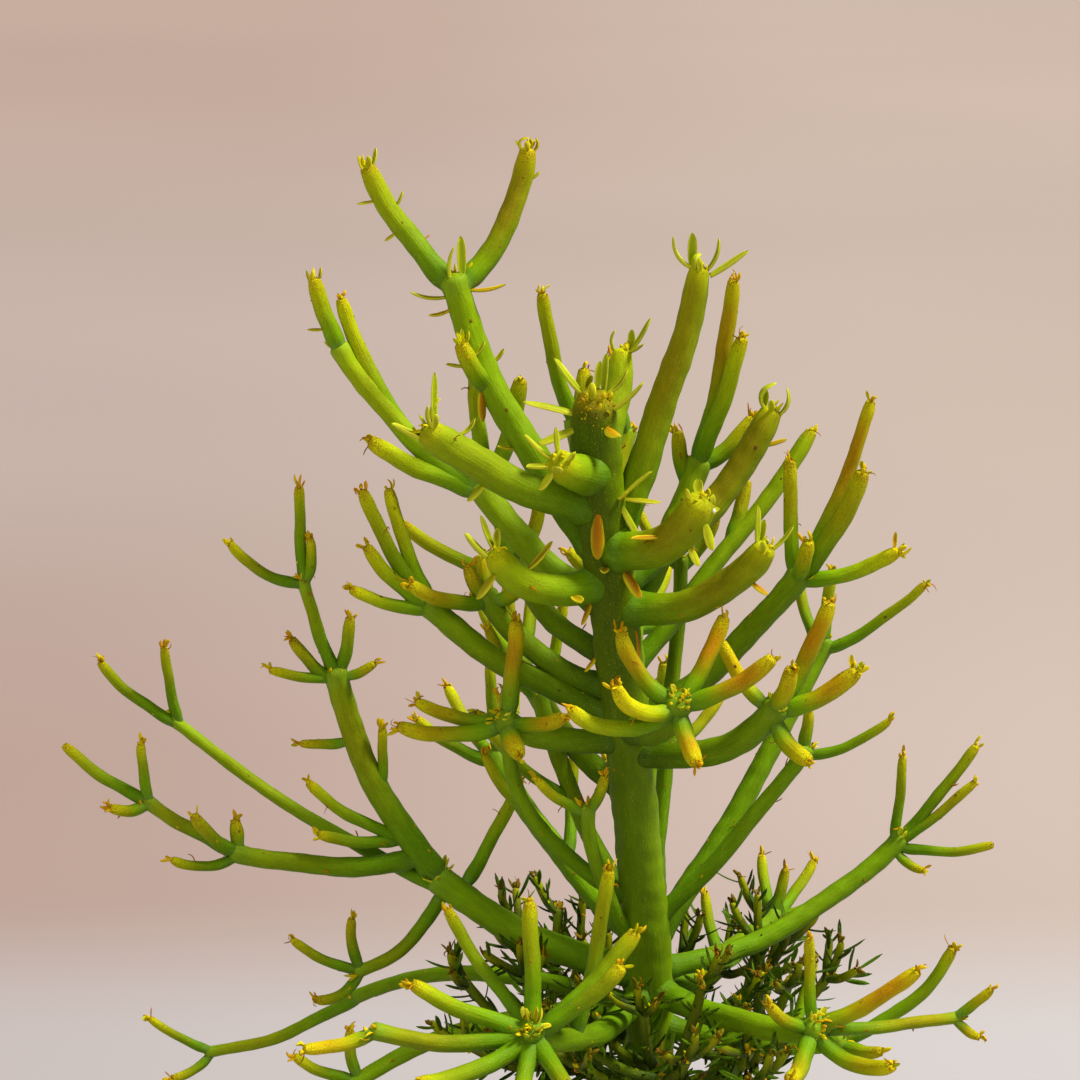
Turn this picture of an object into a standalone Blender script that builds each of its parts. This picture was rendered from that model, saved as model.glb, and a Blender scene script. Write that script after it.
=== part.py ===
"""Potted pencil-stem euphorbia: a clay pot of soil, a trunk rooted in it, its branches and leaf tufts.

Lengths below are in millimetres and angles in degrees, and MM turns a length into Blender's metres.
The origin is at the middle of the pot's foot, +Z is up, and the plant's front faces -Y.
"""

import math

import bmesh
import bpy
from mathutils import Matrix, Vector, kdtree

MM = 0.001
GAP = 0.3  # clearance between pieces that touch

# The pot: a turned clay shell with a thick rim band and four drain holes.
POT_HEIGHT = 108
FOOT_RADIUS = 40
SHOULDER_RADIUS = 51  # outside, just under the rim band
RIM_RADIUS = 58
RIM_BAND = 24  # height of the thick band
POT_WALL = 5.5
POT_FLOOR = 7
DRAIN_RING = 24
DRAIN_RADIUS = 4.5
DRAIN_HOLES = 4
POT_SIDES = 40

SOIL_LEVEL = 98

# The plant's heights are counted from its collar, which stands clear of the soil.
COLLAR_LEVEL = 116

# The trunk, from its buried foot to its blunt top: height from the collar, x, y, diameter.
TRUNK = (
    (-62, 1, 1, 6.5),
    (-30, 1, 0, 11.5),
    (0, 1, 0, 13.0),
    (40, 1.5, 0, 12.2),
    (75, 0.5, 0, 11.8),
    (131, -5, 0, 11.2),
    (165, -8.5, 0, 11.8),
    (190, -11.5, 0, 12.2),
    (205, -13.6, 0, 12.2),
    (218, -14.4, 0, 11.8),
    (225, -14.6, 0, 11.0),
    (228, -14.7, 0, 8.5),
)
TRUNK_SIDES = 12

# Roots that hold the trunk in the soil:
#   depth, heading, leaving pitch, final pitch, length, base and tip diameter.
ROOTS = (
    (38, 20, -10, -45, 33, 5.0, 1.8),
    (44, 95, -20, -60, 31, 4.6, 1.8),
    (36, 165, -10, -50, 34, 5.0, 1.8),
    (46, 235, -15, -55, 30, 4.4, 1.8),
    (40, 305, -10, -45, 32, 4.8, 1.8),
)

# The branches. Each stem is an arc in an upright plane and a row of this table:
#   what carries it ("trunk", or the number of an earlier stem of the same branch),
#   where (millimetres above the collar, or the share of the way along that stem),
#   heading (0 is right, 90 is back, 180 is left, 270 is front), leaving pitch, final pitch,
#   length, base diameter, tip diameter.
BRANCHES = {
    # Crown: the short thick branches round the trunk's top.
    "crown_left": (
        ("trunk", 198, 194, 16, 42, 49, 8.2, 7.8),
    ),
    "crown_front_stub": (
        ("trunk", 208, 240, 5, 40, 21, 8.8, 8.0),
    ),
    "crown_front_right": (
        ("trunk", 189, 320, -4, 68, 36, 9.2, 9.2),
    ),
    "crown_right": (
        ("trunk", 173, 340, -4, 60, 45, 7.8, 7.2),
    ),
    "crown_front_left": (
        ("trunk", 181, 207, -22, 60, 36, 8.0, 7.2),
    ),
    "crown_tall_right": (
        ("trunk", 188, 25, 62, 79, 71, 8.2, 5.8),
    ),
    "crown_right_back": (
        ("trunk", 178, 29, 17, 62, 60, 7.0, 6.8),
    ),
    "crown_tall_left": (
        ("trunk", 185, 150, 40, 72, 77, 8.0, 6.4),
        (0, 0.97, 153, 35, 62, 37, 5.6, 4.8),
        (0, 0.97, 38, 30, 80, 39, 5.6, 5.0),
        (0, 0.63, 200, 42, 72, 16, 4.8, 4.4),
    ),
    "crown_left_back": (
        ("trunk", 172, 149, 14, 51, 45, 7.0, 6.4),
        (0, 0.97, 172, 14, 32, 31, 4.8, 4.4),
        (0, 0.97, 160, 24, 58, 51, 5.2, 4.6),
        (2, 0.97, 170, 62, 78, 20, 4.4, 4.0),
        (2, 0.42, 150, 44, 72, 40, 4.2, 3.6),
        (0, 0.97, 110, 66, 92, 36, 4.0, 3.6),
        (0, 0.97, 20, 62, 82, 30, 4.4, 4.2),
    ),
    "crown_back_right": (
        ("trunk", 166, 50, 34, 62, 47, 6.6, 6.0),
        (0, 0.97, 25, 72, 86, 48, 4.8, 3.6),
        (0, 0.97, 350, 70, 76, 36, 4.4, 3.8),
        (0, 0.85, 120, 55, 80, 15, 4.0, 3.6),
        (0, 0.97, 20, 20, 55, 19, 4.2, 3.8),
    ),
    "crown_stub_back": (
        ("trunk", 203, 76, 30, 64, 37, 6.6, 6.2),
    ),
    "crown_back": (
        ("trunk", 160, 105, 38, 62, 61, 6.4, 5.8),
        (0, 0.97, 165, 66, 84, 36, 4.0, 3.4),
        (0, 0.97, 80, 40, 70, 16, 4.4, 4.0),
        (0, 0.60, 60, 20, 60, 26, 4.4, 3.8),
        (3, 0.97, 165, 64, 90, 21, 3.8, 3.4),
    ),
    "crown_far_right": (
        ("trunk", 154, 36, 34, 48, 78, 5.0, 3.9),
        (0, 0.55, 60, 45, 70, 17, 4.0, 3.4),
    ),
    # Middle tier: longer branches, each ending in a whorl of pencil-thin stems.
    "middle_left": (
        ("trunk", 139, 196, -14, 42, 34, 6.2, 5.8),
        (0, 0.96, 184, -26, 24, 27, 4.2, 3.6),
        (0, 0.96, 160, -15, 22, 24, 3.8, 3.2),
        (0, 0.96, 50, 76, 88, 26, 4.2, 3.8),
        (0, 0.96, 330, -2, 36, 17, 4.0, 3.6),
        (0, 0.96, 285, -40, 5, 12, 5.0, 4.6),
    ),
    "middle_front": (
        ("trunk", 141, 295, 6, 60, 34, 6.6, 6.0),
        (0, 0.96, 165, 22, 78, 23, 4.2, 3.8),
        (0, 0.96, 40, 40, 66, 24, 4.0, 3.8),
        (0, 0.96, 352, 16, 48, 26, 4.4, 4.0),
        (0, 0.96, 212, -16, 70, 22, 4.2, 3.6),
        (0, 0.96, 205, -32, 50, 31, 4.2, 3.6),
        (0, 0.96, 288, -60, -12, 16, 4.4, 4.2),
    ),
    "middle_right": (
        ("trunk", 135, 335, -8, 60, 45, 6.8, 6.4),
        (0, 0.96, 355, 12, 48, 23, 4.6, 4.4),
        (0, 0.96, 300, 50, 76, 16, 4.2, 4.0),
        (0, 0.96, 20, 50, 74, 30, 4.4, 4.0),
        (0, 0.96, 310, -68, 0, 16, 4.2, 4.2),
        (0, 0.96, 150, 28, 66, 21, 3.6, 3.2),
    ),
    "middle_right_back": (
        ("trunk", 140, 12, 28, 54, 57, 6.4, 5.8),
        (0, 0.97, 110, 74, 86, 30, 3.6, 3.4),
        (0, 0.97, 290, 48, 76, 15, 4.0, 3.6),
        (0, 0.97, 355, 50, 74, 33, 4.9, 4.4),
        (0, 0.97, 25, 56, 76, 48, 4.0, 3.0),
        (0, 0.97, 348, 6, 38, 27, 3.8, 3.6),
    ),
    "middle_left_upper": (
        ("trunk", 151, 156, -5, 58, 43, 5.8, 5.4),
        (0, 0.96, 212, 4, 42, 25, 3.9, 3.5),
        (0, 0.96, 205, 45, 75, 12, 3.8, 3.4),
        (0, 0.96, 335, 15, 60, 14, 3.8, 3.4),
        (0, 0.96, 110, 45, 70, 12, 3.6, 3.2),
    ),
    "middle_left_lower": (
        ("trunk", 143, 167, 12, 42, 56, 6.2, 5.6),
        (0, 0.97, 190, 6, 32, 22, 3.4, 3.0),
        (0, 0.97, 182, 30, 62, 24, 3.8, 3.4),
        (0, 0.97, 163, 46, 70, 35, 3.8, 3.4),
        (0, 0.97, 142, 52, 74, 32, 3.6, 3.2),
    ),
    "middle_back_left": (
        ("trunk", 158, 130, -8, 42, 43, 5.6, 5.2),
        (0, 0.97, 168, -4, 42, 32, 3.8, 3.4),
        (0, 0.97, 60, 40, 70, 20, 3.8, 3.4),
        (0, 0.97, 110, 20, 60, 30, 3.8, 3.4),
    ),
    "middle_back": (
        ("trunk", 143, 92, 0, 50, 48, 6.4, 5.8),
        (0, 0.97, 165, 10, 50, 15, 4.0, 3.6),
        (0, 0.97, 95, 5, 50, 30, 4.0, 3.6),
        (0, 0.97, 40, 10, 55, 26, 4.0, 3.6),
        (0, 0.97, 70, 65, 85, 24, 4.0, 3.6),
    ),
    "middle_back_right": (
        ("trunk", 129, 88, -5, 38, 56, 6.2, 5.4),
        (0, 0.97, 110, 5, 50, 24, 4.0, 3.6),
        (0, 0.97, 65, 0, 45, 26, 4.0, 3.6),
        (0, 0.97, 20, 5, 50, 22, 4.0, 3.6),
        (0, 0.97, 75, 60, 84, 24, 3.8, 3.4),
    ),
    "middle_far_left": (
        ("trunk", 122, 122, -6, 38, 58, 6.0, 5.4),
        (0, 0.97, 165, 5, 45, 26, 3.8, 3.4),
        (0, 0.97, 120, 5, 50, 28, 3.8, 3.4),
        (0, 0.97, 80, 20, 60, 24, 3.8, 3.4),
        (0, 0.97, 130, 65, 84, 22, 3.6, 3.2),
    ),
    # Low tier: the long branches that spread from just above the soil.
    "low_left": (
        ("trunk", 71, 165, 0, 38, 60, 7.8, 7.2),
        (0, 0.97, 167, 48, 80, 64, 7.0, 5.8),
        (1, 0.97, 182, 70, 78, 28, 3.4, 3.0),
        (2, 0.97, 186, 8, 58, 22, 2.8, 2.6),
        (2, 0.97, 150, 86, 92, 26, 3.0, 2.6),
        (2, 0.97, 350, 62, 100, 13, 2.8, 2.4),
        (1, 0.97, 20, 68, 86, 17, 3.4, 3.0),
        (1, 0.94, 190, 40, 60, 18, 3.2, 3.0),
        (1, 0.97, 200, 10, 24, 18, 2.8, 2.4),
        (1, 0.97, 352, 15, 40, 11, 2.6, 2.4),
        (1, 0.70, 190, -8, 10, 14, 2.8, 2.4),
        (1, 0.45, 60, 80, 92, 19, 2.8, 2.4),
        (1, 0.22, 186, 20, 50, 32, 3.4, 2.8),
        (1, 0.24, 195, -6, 26, 24, 3.4, 2.8),
        (0, 0.86, 168, 20, 39, 89, 3.8, 3.0),
        (14, 0.97, 186, 30, 58, 27, 3.0, 2.6),
        (14, 0.97, 170, 76, 88, 22, 2.8, 2.4),
        (1, 0.14, 190, -8, 22, 49, 5.4, 4.6),
        (17, 0.97, 175, 24, 38, 27, 3.8, 3.4),
        (18, 0.97, 175, 26, 46, 26, 3.2, 2.8),
        (18, 0.97, 170, 78, 92, 17, 2.8, 2.4),
        (18, 0.97, 205, -25, 35, 11, 3.2, 2.8),
        (17, 0.97, 205, 34, 64, 18, 3.6, 3.2),
        (17, 0.97, 120, 70, 84, 9, 3.6, 3.2),
        (17, 0.97, 204, -26, 40, 19, 2.8, 2.4),
        (0, 0.97, 200, -75, -8, 34, 3.8, 3.2),
        (25, 0.97, 184, 12, 46, 20, 2.8, 2.4),
        (25, 0.97, 150, 60, 100, 15, 3.0, 2.6),
        (25, 0.97, 218, -60, 30, 16, 3.0, 2.6),
        (0, 0.90, 45, 34, 62, 34, 3.8, 3.2),
    ),
    "low_left_hook": (
        ("trunk", 58, 203, 25, -25, 84, 4.8, 3.8),
        (0, 0.97, 186, 8, 45, 18, 3.0, 2.6),
        (0, 0.97, 150, 60, 100, 14, 3.0, 2.6),
        (0, 0.97, 222, -60, 12, 14, 3.0, 2.6),
    ),
    "low_left_droop": (
        ("trunk", 59, 157, 14, -34, 88, 4.8, 3.6),
        (0, 0.98, 172, -40, -14, 49, 3.5, 3.0),
        (1, 0.98, 180, 22, 42, 20, 2.6, 2.2),
        (1, 0.98, 214, -48, 12, 14, 2.6, 2.4),
    ),
    "low_front_left": (
        ("trunk", 52, 222, -30, 5, 84, 5.4, 4.6),
        (0, 0.70, 182, 0, 40, 26, 3.6, 3.2),
        (0, 0.97, 245, 5, 50, 22, 3.6, 3.2),
        (0, 0.97, 190, 10, 50, 22, 3.6, 3.2),
    ),
    "low_front": (
        ("trunk", 67, 240, -8, 44, 66, 6.2, 5.6),
        (0, 0.96, 95, 62, 72, 31, 4.2, 3.8),
        (0, 0.96, 137, 28, 48, 36, 3.4, 3.0),
        (0, 0.96, 184, 18, 36, 32, 4.2, 3.8),
        (0, 0.96, 193, -8, 26, 39, 4.4, 4.0),
        (4, 0.98, 200, -16, 10, 18, 3.4, 3.0),
        (0, 0.96, 219, -20, 20, 35, 4.4, 4.0),
        (0, 0.96, 296, -30, 18, 29, 4.4, 3.8),
        (0, 0.96, 5, 28, 50, 27, 4.4, 3.8),
        (0, 0.94, 28, 26, 48, 34, 4.8, 4.4),
        (0, 0.96, 258, -35, 15, 28, 4.4, 3.8),
        (0, 0.62, 40, 70, 82, 44, 3.8, 3.4),
    ),
    "low_front_right": (
        ("trunk", 68, 316, -8, 29, 56, 6.4, 5.8),
        (0, 0.97, 205, 18, 58, 16, 3.4, 3.0),
        (0, 0.97, 100, 68, 84, 23, 3.0, 2.6),
        (0, 0.97, 358, 24, 44, 30, 4.2, 3.6),
        (0, 0.97, 14, -9, 2, 38, 3.4, 2.8),
        (4, 0.97, 0, 35, 50, 12, 2.6, 2.4),
        (4, 0.97, 320, -40, 0, 8, 2.4, 2.2),
        (0, 0.97, 322, -44, 36, 25, 4.2, 3.8),
        (0, 0.97, 252, -32, 30, 24, 4.4, 4.0),
    ),
    "low_right_lower": (
        ("trunk", 57, 345, -14, 18, 50, 5.6, 5.0),
        (0, 0.97, 8, 12, 68, 40, 3.6, 3.0),
        (0, 0.72, 60, 36, 66, 23, 3.2, 2.8),
        (0, 0.97, 322, -10, 30, 14, 3.6, 3.2),
    ),
    "low_right": (
        ("trunk", 72, 22, -6, 42, 77, 5.6, 4.8),
        (0, 0.97, 60, 78, 88, 25, 2.8, 2.4),
        (0, 0.97, 14, 46, 56, 34, 3.2, 2.8),
        (0, 0.97, 4, 36, 46, 27, 2.8, 2.4),
        (0, 0.97, 346, -8, 24, 26, 2.8, 2.4),
        (0, 0.97, 318, -56, 12, 11, 2.6, 2.2),
    ),
    "low_right_back": (
        ("trunk", 78, 44, 38, 52, 92, 6.4, 4.8),
        (0, 0.97, 358, 24, 50, 33, 3.2, 2.4),
        (0, 0.97, 60, 70, 84, 22, 3.4, 3.0),
        (0, 0.97, 110, 30, 60, 22, 3.2, 2.8),
    ),
    "low_right_slim": (
        ("trunk", 84, 8, 44, 56, 62, 4.6, 3.8),
        (0, 0.97, 358, 5, 46, 24, 2.8, 2.2),
        (0, 0.97, 60, 66, 84, 12, 3.2, 2.8),
    ),
    "low_back_right": (
        ("trunk", 63, 46, -4, 14, 50, 5.6, 4.8),
        (0, 0.97, 5, 5, 45, 18, 3.2, 2.8),
        (0, 0.97, 50, 5, 45, 22, 3.2, 2.8),
        (0, 0.97, 95, 10, 50, 20, 3.2, 2.8),
        (0, 0.97, 50, 50, 76, 14, 3.2, 2.8),
        (0, 0.55, 100, 10, 50, 20, 3.2, 2.8),
    ),
    "low_back": (
        ("trunk", 74, 86, 2, 36, 78, 6.4, 5.6),
        (0, 0.97, 40, 5, 45, 26, 3.6, 3.2),
        (0, 0.97, 88, 5, 45, 28, 3.6, 3.2),
        (0, 0.97, 135, 5, 45, 26, 3.6, 3.2),
        (0, 0.97, 80, 65, 86, 26, 3.6, 3.2),
        (0, 0.50, 130, 30, 70, 32, 3.6, 3.2),
    ),
    "low_back_left": (
        ("trunk", 80, 121, -4, 34, 80, 6.2, 5.4),
        (0, 0.97, 80, 5, 45, 26, 3.6, 3.2),
        (0, 0.97, 124, 5, 45, 30, 3.6, 3.2),
        (0, 0.97, 168, 5, 45, 26, 3.6, 3.2),
        (0, 0.97, 115, 65, 86, 28, 3.4, 3.0),
        (0, 0.50, 85, 30, 70, 30, 3.4, 3.0),
    ),
    # Slim upright shoots that fill the space round the bare trunk.
    "shoot_front": (
        ("trunk", 77, 212, 48, 88, 51, 4.0, 3.4),
        (0, 0.97, 178, 20, 52, 16, 2.8, 2.4),
        (0, 0.97, 5, 55, 80, 11, 3.0, 2.6),
    ),
    "shoot_right": (
        ("trunk", 88, 70, 60, 88, 92, 4.4, 3.4),
        (0, 0.97, 30, 30, 66, 16, 3.0, 2.6),
        (0, 0.97, 150, 30, 66, 20, 3.0, 2.6),
    ),
    "shoot_left_back": (
        ("trunk", 84, 140, 42, 72, 66, 4.8, 4.2),
        (0, 0.97, 170, 40, 70, 24, 3.2, 2.8),
        (0, 0.97, 60, 50, 76, 26, 3.2, 2.8),
        (0, 0.55, 175, 30, 55, 34, 3.2, 2.8),
    ),
    "shoot_left": (
        ("trunk", 92, 180, 20, 92, 66, 4.4, 3.2),
        (0, 0.97, 200, 15, 45, 9, 2.8, 2.4),
        (0, 0.97, 100, 15, 45, 9, 2.8, 2.4),
        (0, 0.50, 150, 30, 60, 24, 3.0, 2.6),
    ),
}

# The undergrowth: four low branches whose thin twigs crowd round the foot of the trunk. Each has how many
# twigs are tried round it, every one with up to three at its end, and the row of its main stem.
UNDERGROWTH = {
    "under_left": (70, ("trunk", 36, 172, 8, 34, 32, 4.6, 4.2)),
    "under_back": (46, ("trunk", 30, 92, 8, 34, 34, 4.6, 4.2)),
    "under_right": (78, ("trunk", 33, 14, 8, 34, 32, 4.6, 4.2)),
    "under_front": (80, ("trunk", 42, 278, 10, 44, 22, 4.6, 4.2)),
}
UNDER_SPREAD = 200  # the fan of headings that a branch's twigs share
TWIG_ROOM = 0.7  # clear space that a twig needs round it

# Leaf tufts: what carries each, and its leaves. A leaf is a row of
#   heading, leaving pitch, final pitch, length, width.
TUFTS = {
    "leaves_trunk_top": ("trunk", 0, (
        (150, 50, 62, 13, 2.0), (190, 10, 24, 13, 2.2), (175, 30, 8, 9, 1.8),
        (80, 70, 84, 10, 1.6), (20, 40, 60, 10, 1.8), (330, 20, 70, 10, 1.6), (250, 30, 80, 8, 1.6),
    )),
    "leaves_left": ("crown_left", 0, (
        (200, 78, 96, 10, 1.8), (120, 60, 100, 9, 1.6), (190, 20, 60, 7, 1.6),
        (260, 30, 80, 7, 1.6), (30, 60, 80, 7, 1.6),
    )),
    "leaves_front_stub": ("crown_front_stub", 0, (
        (170, 20, 60, 8, 1.8), (210, -5, 40, 9, 1.8), (250, -10, 30, 7, 1.6), (120, 40, 80, 7, 1.6),
    )),
    "leaves_front_right": ("crown_front_right", 0, (
        (0, 40, 80, 7, 1.6), (90, 50, 80, 6, 1.6), (180, 40, 80, 6, 1.6), (270, 40, 80, 6, 1.6),
    )),
    "leaves_right": ("crown_right", 0, (
        (10, 40, 70, 8, 1.6), (100, 70, 90, 10, 1.8), (180, 60, 90, 9, 1.6), (280, 40, 80, 6, 1.6),
    )),
    "leaves_front_left": ("crown_front_left", 0, (
        (150, 60, 80, 11, 2.0), (190, 40, 60, 10, 2.0), (260, 30, 70, 7, 1.6), (20, 50, 80, 7, 1.6),
    )),
    "leaves_tall_right": ("crown_tall_right", 0, (
        (180, 50, 88, 11, 1.6), (35, 30, 42, 11, 2.2), (90, 76, 86, 9, 1.8), (300, 40, 96, 9, 1.6),
        (350, 60, 84, 9, 1.6),
    )),
    "leaves_right_back": ("crown_right_back", 0, (
        (184, 57, 110, 9, 1.8), (3, 41, 100, 9, 1.8), (97, 60, 90, 8, 1.6), (283, 50, 90, 6, 1.6),
    )),
    "leaves_tall_left_twig": ("crown_tall_left", 1, (
        (160, 60, 76, 7, 1.6), (30, 60, 86, 7, 1.6), (270, 50, 90, 6, 1.4),
    )),
    "leaves_tall_left_top": ("crown_tall_left", 2, (
        (20, 40, 130, 8, 1.6), (180, 50, 110, 6, 1.6), (280, 50, 90, 6, 1.4),
    )),
    "leaves_stub_back": ("crown_stub_back", 0, (
        (60, 40, 80, 9, 1.8), (180, 40, 90, 7, 1.6), (0, 60, 90, 7, 1.6), (270, 40, 90, 6, 1.6),
    )),
    "leaves_left_back": ("crown_left_back", 3, (
        (200, 60, 84, 7, 1.4), (20, 60, 84, 7, 1.4), (290, 50, 80, 5, 1.4),
    )),
    "leaves_middle_right": ("middle_right", 1, (
        (0, 30, 80, 6, 1.6), (90, 60, 90, 7, 1.6), (200, 50, 90, 6, 1.6), (290, 20, 60, 5, 1.4),
    )),
}
LEAF_THICKNESS = 0.8
BUD_HEIGHT = 1.2

# How finely the stems are faceted.
THICK_STEM = 5.6  # a stem at least this thick at its base gets more sides
THICK_SIDES = 8
THIN_SIDES = 5

# Two branches leave the trunk side by side when they are nearer than this.
NEIGHBOUR_HEIGHT = 16
NEIGHBOUR_TURN = 75

POT_COLOUR = (0.64, 0.36, 0.22, 1)
SOIL_COLOUR = (0.08, 0.055, 0.04, 1)
TRUNK_COLOUR = (0.16, 0.25, 0.05, 1)
STEM_COLOUR = (0.28, 0.42, 0.05, 1)
LEAF_COLOUR = (0.55, 0.62, 0.08, 1)


def clear_scene():
    for thing in list(bpy.data.objects):
        bpy.data.objects.remove(thing, do_unlink=True)


def material(name, colour, roughness):
    made = bpy.data.materials.new(name)
    made.use_nodes = True
    shader = made.node_tree.nodes["Principled BSDF"]
    shader.inputs["Base Color"].default_value = colour
    shader.inputs["Roughness"].default_value = roughness
    shader.inputs["Metallic"].default_value = 0.0
    return made


def body_from(rings, name):
    """A closed body through rings of equal count, with a flat cap at each end."""
    mesh = bmesh.new()
    loops = [[mesh.verts.new(point) for point in ring] for ring in rings]
    count = len(loops[0])
    for lower, upper in zip(loops, loops[1:]):
        for i in range(count):
            j = (i + 1) % count
            mesh.faces.new((lower[i], lower[j], upper[j], upper[i]))
    mesh.faces.new(list(reversed(loops[0])))
    mesh.faces.new(loops[-1])
    bmesh.ops.triangulate(mesh, faces=mesh.faces)
    bmesh.ops.recalc_face_normals(mesh, faces=mesh.faces)
    data = bpy.data.meshes.new(name)
    mesh.to_mesh(data)
    mesh.free()
    thing = bpy.data.objects.new(name, data)
    bpy.context.scene.collection.objects.link(thing)
    return thing


def combine(thing, other, operation):
    """Joins other to thing, or cuts it away, and removes other."""
    step = thing.modifiers.new("step", "BOOLEAN")
    step.operation = operation
    step.solver = "EXACT"
    step.object = other
    graph = bpy.context.evaluated_depsgraph_get()
    result = bpy.data.meshes.new_from_object(thing.evaluated_get(graph))
    thing.modifiers.clear()
    thing.data = result
    bpy.data.objects.remove(other, do_unlink=True)


def finish(thing, surface):
    """Turns a body made in millimetres into metres and gives it its one surface."""
    thing.data.transform(Matrix.Scale(MM, 4))
    thing.data.materials.clear()
    thing.data.materials.append(surface)


def circle(centre, across, along, radius, sides, turn=0.0):
    """The points of a circle in the plane of two unit vectors."""
    points = []
    for i in range(sides):
        angle = 2 * math.pi * (i + turn) / sides
        points.append(centre + radius * (math.cos(angle) * across + math.sin(angle) * along))
    return points


def level_circle(x, y, z, radius, sides):
    return circle(Vector((x, y, z)), Vector((1, 0, 0)), Vector((0, 1, 0)), radius, sides)


def direction(heading, pitch):
    """The unit vector at a heading and a pitch."""
    turn = math.radians(heading)
    rise = math.radians(pitch)
    return Vector((math.cos(rise) * math.cos(turn), math.cos(rise) * math.sin(turn), math.sin(rise)))


def arc_point(start, heading, leaving, final, length, share):
    """The point at a share of the way along an arc that begins at start."""
    count = 24
    point = start.copy()
    for i in range(round(count * share)):
        pitch = leaving + (final - leaving) * (i + 0.5) / count
        point += direction(heading, pitch) * length / count
    return point


def facets(base, length):
    """How many sides and steps a stem of this base diameter and length is made with."""
    return (THICK_SIDES if base >= THICK_STEM else THIN_SIDES), 2 + (length > 22) + (length > 42)


def arc_body(name, start, heading, leaving, final, length, base, tip, sides, steps, flat=1.0):
    """A tapered rod along an arc, ending in a blunt rounded tip; flat squashes its thickness.

    Each rod's facets are turned by an amount of its own, so that two that meet never share a plane.
    """
    side = direction(heading + 90, 0)
    turn = 0.5 if flat < 1 else (heading + leaving) / 97
    rings = []
    for i in range(steps + 1):
        share = i / steps
        centre = arc_point(start, heading, leaving, final, length, share)
        normal = direction(heading, leaving + (final - leaving) * share + 90)
        rings.append(circle(centre, side, normal * flat, (base + (tip - base) * share) / 2, sides, turn))
    end = centre + direction(heading, final) * tip * 0.2
    rings.append(circle(end, side, normal * flat, tip * 0.3, sides, turn))
    return body_from(rings, name)


def trunk_at(height):
    """The trunk's centre and radius at a height from the collar."""
    for low, high in zip(TRUNK, TRUNK[1:]):
        if low[0] <= height <= high[0]:
            share = (height - low[0]) / (high[0] - low[0])
            level, x, y, diameter = (a + (b - a) * share for a, b in zip(low, high))
            return Vector((x, y, COLLAR_LEVEL + level)), diameter / 2
    raise ValueError(f"no trunk at {height}")


def trunk_body(name, grow=0.0):
    """The trunk and its roots as one body, grown outwards by grow."""
    rings = []
    for level, x, y, wide in TRUNK:
        rings.append(level_circle(x, y, COLLAR_LEVEL + level, wide / 2 + grow, TRUNK_SIDES))
    for ring, sense in ((rings[0], -1), (rings[-1], 1)):
        for point in ring:
            point.z += sense * grow
    body = body_from(rings, name)
    for depth, heading, leaving, final, length, base, tip in ROOTS:
        start = trunk_at(-depth)[0]
        root = (start, heading, leaving, final, length + grow, base + 2 * grow, tip + 2 * grow)
        combine(body, arc_body("root", *root, 6, 3), "UNION")
    return body


def inner_radius(height):
    """The radius of the pot's inside at a height above its foot."""
    lean = (SHOULDER_RADIUS - FOOT_RADIUS) / (POT_HEIGHT - RIM_BAND)
    return FOOT_RADIUS + lean * height - POT_WALL


def build_pot(surface):
    """A turned clay pot: tapered wall, thick rim band, flat foot with drain holes."""
    band = POT_HEIGHT - RIM_BAND
    profile = (
        (FOOT_RADIUS - 1.5, 0),
        (FOOT_RADIUS, 1.5),
        (SHOULDER_RADIUS, band),
        (RIM_RADIUS - 3, band + 0.5),
        (RIM_RADIUS - 2, band + 2),
        (RIM_RADIUS, POT_HEIGHT - 2),
        (RIM_RADIUS - 1.5, POT_HEIGHT),
        (inner_radius(POT_HEIGHT) + 1.5, POT_HEIGHT),
        (inner_radius(POT_HEIGHT - 1.5), POT_HEIGHT - 1.5),
        (inner_radius(POT_FLOOR), POT_FLOOR),
    )
    pot = body_from([level_circle(0, 0, height, radius, POT_SIDES) for radius, height in profile], "pot")
    for i in range(DRAIN_HOLES):
        spot = direction(360 * i / DRAIN_HOLES, 0) * DRAIN_RING
        ends = [level_circle(spot.x, spot.y, height, DRAIN_RADIUS, 12) for height in (-3, POT_FLOOR + 3)]
        combine(pot, body_from(ends, "drain"), "DIFFERENCE")
    finish(pot, surface)


def build_soil(surface):
    """The potting mix: a plug just clear of the pot, slightly domed, cut away round the trunk and roots."""
    low = POT_FLOOR + GAP
    edge = SOIL_LEVEL - 2
    profile = ((inner_radius(low) - 2 * GAP, low), (inner_radius(edge) - 2 * GAP, edge), (30, SOIL_LEVEL))
    soil = body_from([level_circle(0, 0, height, radius, POT_SIDES) for radius, height in profile], "soil")
    combine(soil, trunk_body("clearance", GAP), "DIFFERENCE")
    finish(soil, surface)


def stem_starts(rows):
    """Where each stem of a branch begins."""
    starts = []
    for carrier, where, *_ in rows:
        if carrier == "trunk":
            starts.append(trunk_at(where)[0])
        else:
            starts.append(arc_point(starts[carrier], *rows[carrier][2:6], where))
    return starts


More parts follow.
